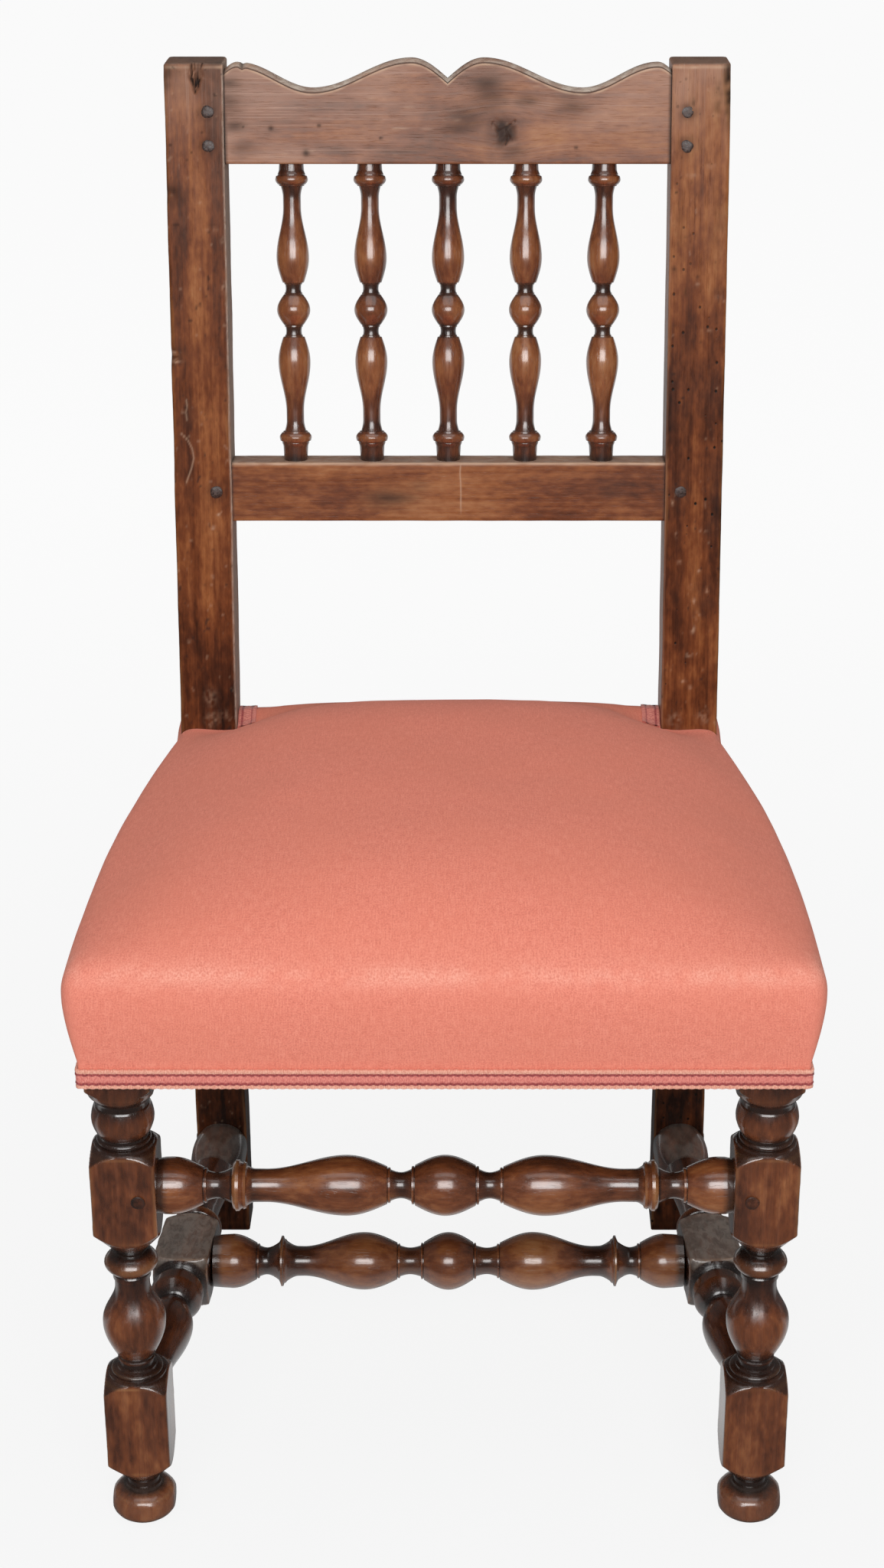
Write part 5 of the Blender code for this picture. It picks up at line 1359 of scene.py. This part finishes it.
def crown_rise(x, y):
    front, back = FRONT_Y - LEG_BLOCK / 2, stile_back(SEAT_EDGE)
    across = np.minimum(np.abs(x) / side_outer_x(y), 1)
    along = np.clip((2 * y - front - back) / (back - front), -1, 1)
    full_front = (1 - across**3) * (1 - along**4)
    flat_back = np.maximum(1 - across**3 - along**4, 0)
    return SEAT_CROWN * np.where(along < 0, full_front, flat_back)


def seat_rings(grow):
    """The seat's skin as rings from its lower edge over the roll to its middle, evened out over the roll
    and the crown."""
    straight_top = SEAT_RAIL_BOTTOM + GIMP_HEIGHT + GIMP_THICKNESS
    roll_start = SEAT_EDGE - SEAT_ROLL
    rings = []

    def ring(height, swell, out):
        outline = seat_outline(height, swell, out)
        rings.append(np.column_stack([outline, np.full(len(outline), height)]))

    for height in np.linspace(SEAT_RAIL_BOTTOM + 0.6 * MM, straight_top, EDGE_RINGS):
        ring(height, 0, grow)
    for share in np.linspace(0, 1, SIDE_RINGS + 1)[1:]:
        ring(straight_top + (roll_start - straight_top) * share, math.sin(math.pi / 2 * share), grow)
    for angle in np.linspace(0, ROLL_END, ROLL_RINGS + 1)[1:]:
        inset = SEAT_ROLL * (1 - math.cos(angle))
        ring(roll_start + (SEAT_ROLL + grow) * math.sin(angle), 1, grow * math.cos(angle) - inset)
    edge = rings[-1]
    middle = np.array([0, (FRONT_Y + REAR_Y) / 2, edge[0, 2]])
    for share in 1 - np.linspace(0, 1, CROWN_RINGS + 2)[1:-1]:
        flat = middle + (edge - middle) * share
        flat[:, 2] += crown_rise(flat[:, 0], flat[:, 1])
        rings.append(flat)
    rings = np.array(rings)
    for _ in range(EVENING_PASSES):
        beside = np.roll(rings, 1, 0) + np.roll(rings, -1, 0)
        rings[EVENED] = (beside + 2 * rings)[EVENED] / 4
    return rings


def outwards_of(loop):
    """Level directions out of a closed line at its points."""
    ahead = np.roll(loop, -1, 0) - np.roll(loop, 1, 0)
    out = np.column_stack([ahead[:, 1], -ahead[:, 0]])
    return out / np.linalg.norm(out, axis=1)[:, None]


def cloth_places(rings):
    """Flat cloth coordinates: the plan on top, and below the roll the plan moved outwards by the drop."""
    edge = rings[ROLL_ROW]
    out = outwards_of(edge)
    places = rings.copy()
    steps = np.linalg.norm(np.diff(rings[: ROLL_ROW + 1], axis=0), axis=2)
    drop = np.vstack([np.cumsum(steps[::-1], 0)[::-1], np.zeros(len(edge))])
    places[: ROLL_ROW + 1, :, :2] = edge[None, :, :2] + out[None] * drop[..., None]
    places[..., 2] = 0
    return places


def uneven_seat(rings, seed):
    """Small rises and dips of a hand-stuffed seat, deeper at the stiles' inner corners, and the ridge
    behind."""
    rings = rings.copy()
    lift = noise_at(rings, 11, seed) * 1.6 * MM + noise_at(rings, 34, seed) * 0.5 * MM
    above = clamp01((rings[..., 2] - SEAT_RAIL_BOTTOM - 30 * MM) / (60 * MM))
    corner_y = stile_front(SEAT_EDGE)
    for sign in (-1, 1):
        away = np.hypot(rings[..., 0] - sign * BACK_HALF_SPAN, rings[..., 1] - corner_y)
        ahead = clamp01((corner_y + 14 * MM - rings[..., 1]) / (20 * MM))
        lift -= CORNER_DIP * bell(away, 30 * MM) * ahead
    behind = clamp01((rings[..., 1] - corner_y - 2 * MM) / (18 * MM))
    aside = clamp01((np.abs(rings[..., 0]) - 40 * MM) / (90 * MM))
    lift += BACK_RIDGE * ease(behind) * aside
    rings[..., 2] += lift * above
    return rings


def stile_cutter(sign, gap, outwards):
    """A block round a stile's raked part, to cut the seat's pieces clear of it."""
    inner = REAR_X - STILE_WIDTH / 2 - gap
    outer = REAR_X + STILE_WIDTH / 2 + outwards
    size = Vector((outer - inner, STILE_DEPTH + gap + outwards, CUTTER_HEIGHT))
    shell = bmesh.new()
    bmesh.ops.create_cube(shell, size=1)
    bmesh.ops.scale(shell, vec=size, verts=shell.verts)
    mesh = bpy.data.meshes.new("cutter")
    shell.to_mesh(mesh)
    shell.free()
    cutter = bpy.data.objects.new("cutter", mesh)
    bpy.context.scene.collection.objects.link(cutter)
    middle_y = (outwards - gap + STILE_DEPTH) / 2
    middle = Vector((sign * (inner + outer) / 2, middle_y, SEAT_EDGE - RAKE_START))
    cutter.matrix_world = BACK_FRAME @ Matrix.Translation(middle)
    return cutter


def cut_clear_of_stiles(mesh, gap, outwards):
    """The mesh with the stiles' room taken out of it."""
    whole_form = bpy.data.objects.new("whole_form", mesh)
    bpy.context.scene.collection.objects.link(whole_form)
    cutters = [stile_cutter(sign, gap, outwards) for sign in (-1, 1)]
    for cutter in cutters:
        change = whole_form.modifiers.new("clear", "BOOLEAN")
        change.operation = "DIFFERENCE"
        change.solver = "EXACT"
        change.object = cutter
    graph = bpy.context.evaluated_depsgraph_get()
    cut = bpy.data.meshes.new_from_object(whole_form.evaluated_get(graph))
    for item in (whole_form, *cutters):
        bpy.data.objects.remove(item, do_unlink=True)
    return cut


def both_layers(values):
    """Values on the cover's outer rings, for its inner layer and then its outer layer."""
    return np.concatenate([values[::-1], values])


def cover_marks(outer):
    """How far the cover is paler along its front edge, partly rubbed and partly a painted highlight, and
    how far it is darkened by painted shade behind the crown.
    """
    row = np.arange(len(outer))[:, None]
    ahead = clamp01((LEG_BACK - outer[..., 1]) / (30 * MM))
    patchy = clamp01(0.55 + 0.9 * noise_at(outer * [1, 1, 0], 24, 3) + 0.9 * noise_at(outer, 130, 8))
    rub = (0.12 * bell(row - ROLL_ROW - 1, 6) + 0.48 * patchy * bell(row - ROLL_ROW, 3.2)) * ahead
    behind = clamp01((outer[..., 1] - stile_front(SEAT_EDGE) + 2 * MM) / (10 * MM))
    return {"rub": rub, "shade_behind_crown": 0.42 * behind * clamp01((row - ROLL_ROW + 8) / 6)}


def add_seat_cover():
    """The wool cover as one closed skin of its thickness, slit where the stiles come up through it."""
    outer = uneven_seat(seat_rings(0), SEAT_SEED)
    inner = uneven_seat(seat_rings(-COVER_THICKNESS), SEAT_SEED)
    points, faces = loft(np.concatenate([inner[::-1], outer]))
    mesh = new_mesh("seat_cover_wool", points, faces)
    places = cloth_places(outer)
    centre = places[-1].mean(0)
    set_field(mesh, "cloth", np.vstack([both_layers(places).reshape(-1, 3), centre, centre]))
    for field, values in cover_marks(outer).items():
        set_field(mesh, field, with_ends(both_layers(values)))
    cover = add_piece("seat_cover_wool", cut_clear_of_stiles(mesh, CLEARANCE, CLEARANCE), "cover_cloth",
                      ["seat_cover"])
    return BVHTree.FromPolygons(points.tolist(), faces)


def add_stuffing():
    """The hair stuffing under the cover, on the base cloth, with a rougher skin."""
    grow = -COVER_THICKNESS - CLEARANCE
    rings = uneven_seat(seat_rings(grow), SEAT_SEED)
    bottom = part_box("seat_stuffing")[0][2]
    rings = rings[[i for i in range(len(rings)) if rings[i, 0, 2] > bottom + 4 * MM]]
    base = rings[0].copy()
    base[:, 2] = bottom
    rings = np.concatenate([base[None], rings])
    rings[2:, :, 2] -= np.abs(noise_at(rings[2:], 90, 2)) * 0.8 * MM
    points, faces = loft(rings)
    mesh = cut_clear_of_stiles(new_mesh("seat_stuffing_hair", points, faces), 5 * MM, STILE_WIDTH)
    add_piece("seat_stuffing_hair", mesh, "stuffing_fibre", ["seat_stuffing"])


# Braid

# Ribs of the braid: middle and half width as shares of its width, height in mm, and paleness
RIBS = ((0.08, 0.10, 0.8, 1), (0.50, 0.20, 0.6, 0), (0.90, 0.12, 0.9, 1))
BRAID_POINTS = 29
BRAID_STEP, WAVE = 1.0 * MM, 5 * MM
CORD_RADIUS, CORD_SIDES = 0.75 * MM, 6
STILE_BRAID_ROWS, STILE_BRAID_POINTS = 40, 17


def resample(loop, spacing):
    """Points at even distances along a closed line of points, and their distances along it."""
    loop = np.vstack([loop, loop[:1]])
    steps = np.linalg.norm(np.diff(loop, axis=0), axis=1)
    run = np.concatenate([[0], np.cumsum(steps)])
    at = np.linspace(0, run[-1], round(run[-1] / spacing), endpoint=False)
    return np.column_stack([np.interp(at, run, loop[:, i]) for i in range(loop.shape[1])]), at


def braid_section(share):
    """Rib height and paleness at shares of the braid's width."""
    height, pale = np.zeros_like(share), np.zeros_like(share)
    for middle, half, proud, light in RIBS:
        inside = clamp01(1 - ((share - middle) / half) ** 2)
        height = np.maximum(height, proud * np.sqrt(inside))
        pale = np.maximum(pale, light * (inside > 0))
    return height, pale


def tube(path, radius, sides):
    """Rings of a round cord along a closed path."""
    ahead = np.roll(path, -1, 0) - np.roll(path, 1, 0)
    ahead /= np.linalg.norm(ahead, axis=1)[:, None]
    side = np.cross(ahead, [0, 0, 1])
    side /= np.linalg.norm(side, axis=1)[:, None]
    up = np.cross(side, ahead)
    turn = np.arange(sides) / sides * TAU
    ring = side[:, None] * np.cos(turn)[None, :, None] + up[:, None] * np.sin(turn)[None, :, None]
    return path[:, None] + ring * radius


def closed_skin(rings):
    """A skin of closed rings whose last ring joins its first."""
    rows, columns, _ = rings.shape
    faces = skin_faces(rows + 1, columns)
    return rings.reshape(-1, 3), [[v % (rows * columns) for v in face] for face in faces]


def braid_places(run, share, level):
    """Cloth coordinates of a braid, along its run and across its front and the two edges of its back."""
    places = np.empty((len(run), len(share) + 2, 3))
    places[..., 0] = run[:, None]
    places[..., 1] = np.append(share, [1, 0]) * GIMP_HEIGHT
    places[..., 2] = level
    return places


def add_gimp_band(path, run, out):
    """The ribbed band of the braid round the seat, with scalloped edges."""
    share = np.linspace(0, 1, BRAID_POINTS)
    height, pale = braid_section(share)
    scallop = 0.25 * MM * np.sin(run / WAVE * TAU)[:, None] * (pale > 0) * np.sign(share - 0.5)
    outside = np.empty((len(path), BRAID_POINTS, 3))
    outside[..., :2] = path[:, None] + out[:, None] * (0.9 + height)[:, None] * MM
    outside[..., 2] = SEAT_RAIL_BOTTOM - GIMP_DROP + GIMP_HEIGHT * share + scallop
    inside = outside[:, [-1, 0]].copy()
    inside[..., :2] = path[:, None]
    points, faces = closed_skin(np.concatenate([outside, inside], 1))
    mesh = new_mesh("seat_gimp_band", points, faces)
    set_field(mesh, "cloth", braid_places(run, share, 0).reshape(-1, 3))
    set_field(mesh, "pale", np.tile(np.append(pale, [1, 1]), len(path)))
    add_piece("seat_gimp_band", mesh, "gimp_braid", ["seat_gimp"])


def add_gimp_cords(path, run, out):
    """The two dark wavy cords in the grooves of the braid round the seat."""
    level = np.zeros(len(run))
    drift = 1.6 * noise_at(np.column_stack([run, level, level]), 25, 5)
    for name, middle, phase in (("lower", 0.245, 0), ("upper", 0.735, math.pi)):
        wave = np.sin(run / WAVE * TAU + drift + phase) * 0.45 * MM
        height = SEAT_RAIL_BOTTOM - GIMP_DROP + GIMP_HEIGHT * middle + wave
        cord_path = np.column_stack([path + out * 1.15 * MM, height])
        points, faces = closed_skin(tube(cord_path, CORD_RADIUS, CORD_SIDES))
        mesh = new_mesh(f"seat_gimp_cord_{name}", points, faces)
        cloth = np.repeat(np.column_stack([run, wave, level]), CORD_SIDES, 0)
        set_field(mesh, "cloth", cloth)
        set_field(mesh, "dark", np.ones(len(points)))
        add_piece(f"seat_gimp_cord_{name}", mesh, "gimp_braid")


def add_seat_gimp():
    """The braid round the seat's lower edge: a ribbed band, and two wavy cords that lie in its grooves."""
    path, run = resample(seat_outline(SEAT_RAIL_BOTTOM, 0, CLEARANCE), BRAID_STEP)
    out = outwards_of(path)
    add_gimp_band(path, run, out)
    add_gimp_cords(path, run, out)


def add_stile_gimp(side, sign, surface):
    """The short braid beside a stile, on the cover, from the stile's front to the seat's back."""
    start, end = stile_front(SEAT_EDGE), stile_back(SEAT_EDGE) - SEAT_ROLL / 2
    ys = np.linspace(start, end, STILE_BRAID_ROWS)
    share = np.linspace(0, 1, STILE_BRAID_POINTS)
    height, _ = braid_section(share)
    rings = []
    for y in ys:
        tops = []
        for part in share:
            x = sign * (BACK_HALF_SPAN - CLEARANCE - part * GIMP_HEIGHT)
            hit = surface.ray_cast(Vector((x, y, STILE_TOP)), Vector((0, 0, -1)))[0]
            tops.append(np.array(hit))
        tops = np.array(tops)
        low = tops[[-1, 0]] + np.array([0, 0, CLEARANCE])
        tops[:, 2] += (0.8 + height) * MM
        rings.append(np.vstack([tops, low]))
    points, faces = loft(np.array(rings))
    mesh = new_mesh(f"stile_gimp_{side}_band", points, faces)
    cloth = braid_places(ys, share, 0.5)
    ends = cloth[[0, -1]].mean(1)
    set_field(mesh, "cloth", np.vstack([cloth.reshape(-1, 3), ends]))
    groove = np.append((height <= 0.05).astype(float), [0, 0])
    set_field(mesh, "dark", with_ends(np.repeat(0.3 + 0.6 * groove[None], len(ys), 0)))
    set_field(mesh, "pale", np.full(len(points), 0.35))
    add_piece(f"stile_gimp_{side}_band", mesh, "gimp_braid", [f"stile_gimp_{side}"])


# Cloths under the seat

CLOTH_SQUARE = 9 * MM


def in_squares(node, name, low, high):
    """A copy of a CAD cloth's mesh, cut into small squares."""
    shell = bmesh.new()
    shell.from_mesh(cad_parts[node].data)
    for axis in range(2):
        count = round((high[axis] - low[axis]) / CLOTH_SQUARE)
        for i in range(1, count):
            spot, normal = Vector((0, 0, 0)), Vector((0, 0, 0))
            spot[axis] = low[axis] + (high[axis] - low[axis]) * i / count
            normal[axis] = 1
            parts = [*shell.verts, *shell.edges, *shell.faces]
            bmesh.ops.bisect_plane(shell, geom=parts, plane_co=spot, plane_no=normal)
    mesh = bpy.data.meshes.new(name)
    shell.to_mesh(mesh)
    shell.free()
    return mesh


def add_tacked_cloth(node, name, slot, sag):
    """A cloth with the CAD cloth's outline, in small squares, that sags between its tacked edges."""
    low, high = (Vector(corner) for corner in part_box(node))
    mesh = in_squares(node, name, low, high)
    points = coordinates(mesh)
    across = (points[:, 0] - low.x) / (high.x - low.x)
    along = (points[:, 1] - low.y) / (high.y - low.y)
    room = (16 * across * (1 - across) * along * (1 - along)) ** 1.2
    points[:, 2] -= room * sag * (1 + 0.25 * noise_at(points * [1, 1, 0], 18, 1))
    points[:, 2] += room * noise_at(points * [1, 1, 0], 40, 6) * 0.8 * MM
    mesh.vertices.foreach_set("co", points.ravel())
    mesh.shade_smooth()
    piece = add_piece(name, mesh, slot, [node])


def dress_hidden_nodes():
    """Procedural finishes on the CAD nodes that stay: the seat frame, its pegs and the webbing."""
    finishes = {"seat_rail": "rail_wood", "seat_peg": "rail_wood", "web_strap": "web_jute"}
    for name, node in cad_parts.items():
        for prefix, slot in finishes.items():
            if name.startswith(prefix):
                node.data.materials.clear()
                node.data.materials.append(MATERIALS[slot])


# Stage

def add_floor():
    """A pale floor that is all but white to the camera. In reflections it is dim, but for a strip below
    the chair and its far part."""
    bpy.ops.mesh.primitive_plane_add(size=40)
    floor = bpy.context.object
    floor.name = "floor"
    t = Tree("pale_floor")
    rays = t.add("ShaderNodeLightPath").outputs
    away = t.add("ShaderNodeSeparateXYZ", {"Vector": t.place()}).outputs["Y"]
    shade = t.add("ShaderNodeBsdfDiffuse", {"Color": (0.85, 0.85, 0.85)}).outputs[0]
    glow = t.white("ShaderNodeEmission", t.span(away, -0.6, 2.5, 0.95, 1.02))
    seen = t.blend(t.times(rays["Is Camera Ray"], 0.92), shade, glow)
    strip = t.plus(t.span(away, -0.28, -0.10, 0.08, 0.52), t.span(away, -0.06, 0.08, 0, -0.42))
    reflected = t.white("ShaderNodeEmission", t.plus(strip, t.span(away, 0.8, 1.5, 0, 0.50)))
    mixed = t.blend(rays["Is Glossy Ray"], seen, reflected)
    t.put(t.nodes["Material Output"].inputs["Surface"], mixed)
    floor.data.materials.append(t.owner)


def add_light(name, place, target, size, power):
    light = bpy.data.lights.new(name, "AREA")
    light.shape = "RECTANGLE"
    light.size, light.size_y = size
    light.energy = power
    lamp = bpy.data.objects.new(name, light)
    lamp.location = place
    lamp.rotation_euler = (Vector(target) - Vector(place)).to_track_quat("-Z", "Y").to_euler()
    bpy.context.scene.collection.objects.link(lamp)


def add_lights():
    add_light("front_softbox", (0, -2.35, 1.66), (0, 0, 0.45), (2.0, 1.2), 46)
    add_light("top_softbox", (0, -0.3, 2.7), (0, 0, 0), (2.6, 2.2), 18)


def add_world():
    """A studio that is white to the camera, dim in reflections, and lights the chair softly all round."""
    t = Tree("studio", "worlds")
    rays = t.add("ShaderNodeLightPath").outputs
    around, mirrored, seen = (t.white("ShaderNodeBackground", power) for power in (0.24, 0.08, 1.0))
    lit = t.blend(rays["Is Glossy Ray"], around, mirrored)
    mixed = t.blend(rays["Is Camera Ray"], lit, seen)
    t.put(t.nodes["World Output"].inputs["Surface"], mixed)
    bpy.context.scene.world = t.owner


# The camera fitted to the photograph: lens and shifts in pixels of the photograph, place in metres
PICTURE_HEIGHT = 2048
FOCAL_PIXELS = 3505.94
SHIFT_PIXELS = (-38.9, -6.1)
CAMERA_ASIDE, CAMERA_AHEAD, CAMERA_HEIGHT, CAMERA_PITCH = 0.018, 1.5735, 1.2424, 0.403


def add_camera():
    camera = bpy.data.objects.new("camera", bpy.data.cameras.new("camera"))
    bpy.context.scene.collection.objects.link(camera)
    camera.location = (CAMERA_ASIDE, FRONT_Y - CAMERA_AHEAD, CAMERA_HEIGHT)
    camera.rotation_euler = Euler((math.pi / 2 - CAMERA_PITCH, 0, 0))
    camera.data.sensor_width = 36
    camera.data.lens = FOCAL_PIXELS / PICTURE_HEIGHT * camera.data.sensor_width
    camera.data.shift_x = SHIFT_PIXELS[0] / PICTURE_HEIGHT
    camera.data.shift_y = SHIFT_PIXELS[1] / PICTURE_HEIGHT
    bpy.context.scene.camera = camera


MATERIALS = make_materials()
add_turnings()
for (side_name, side_sign), stile_seed in zip(SIDES, (11.2, 12.7)):
    add_stile(side_name, side_sign, stile_seed)
add_crest_rail(13.4)
add_lower_back_rail(14.8)
add_pegs()
cover_surface = add_seat_cover()
add_stuffing()
add_seat_gimp()
for side_name, side_sign in SIDES:
    add_stile_gimp(side_name, side_sign, cover_surface)
add_tacked_cloth("dust_cover", "dust_cover_cloth", "dust_cloth", sag=5 * MM)
add_tacked_cloth("base_cloth", "base_cloth_linen", "base_linen", sag=0)
dress_hidden_nodes()
add_floor()
add_lights()
add_world()
add_camera()
bpy.context.scene.view_settings.view_transform = "Standard"
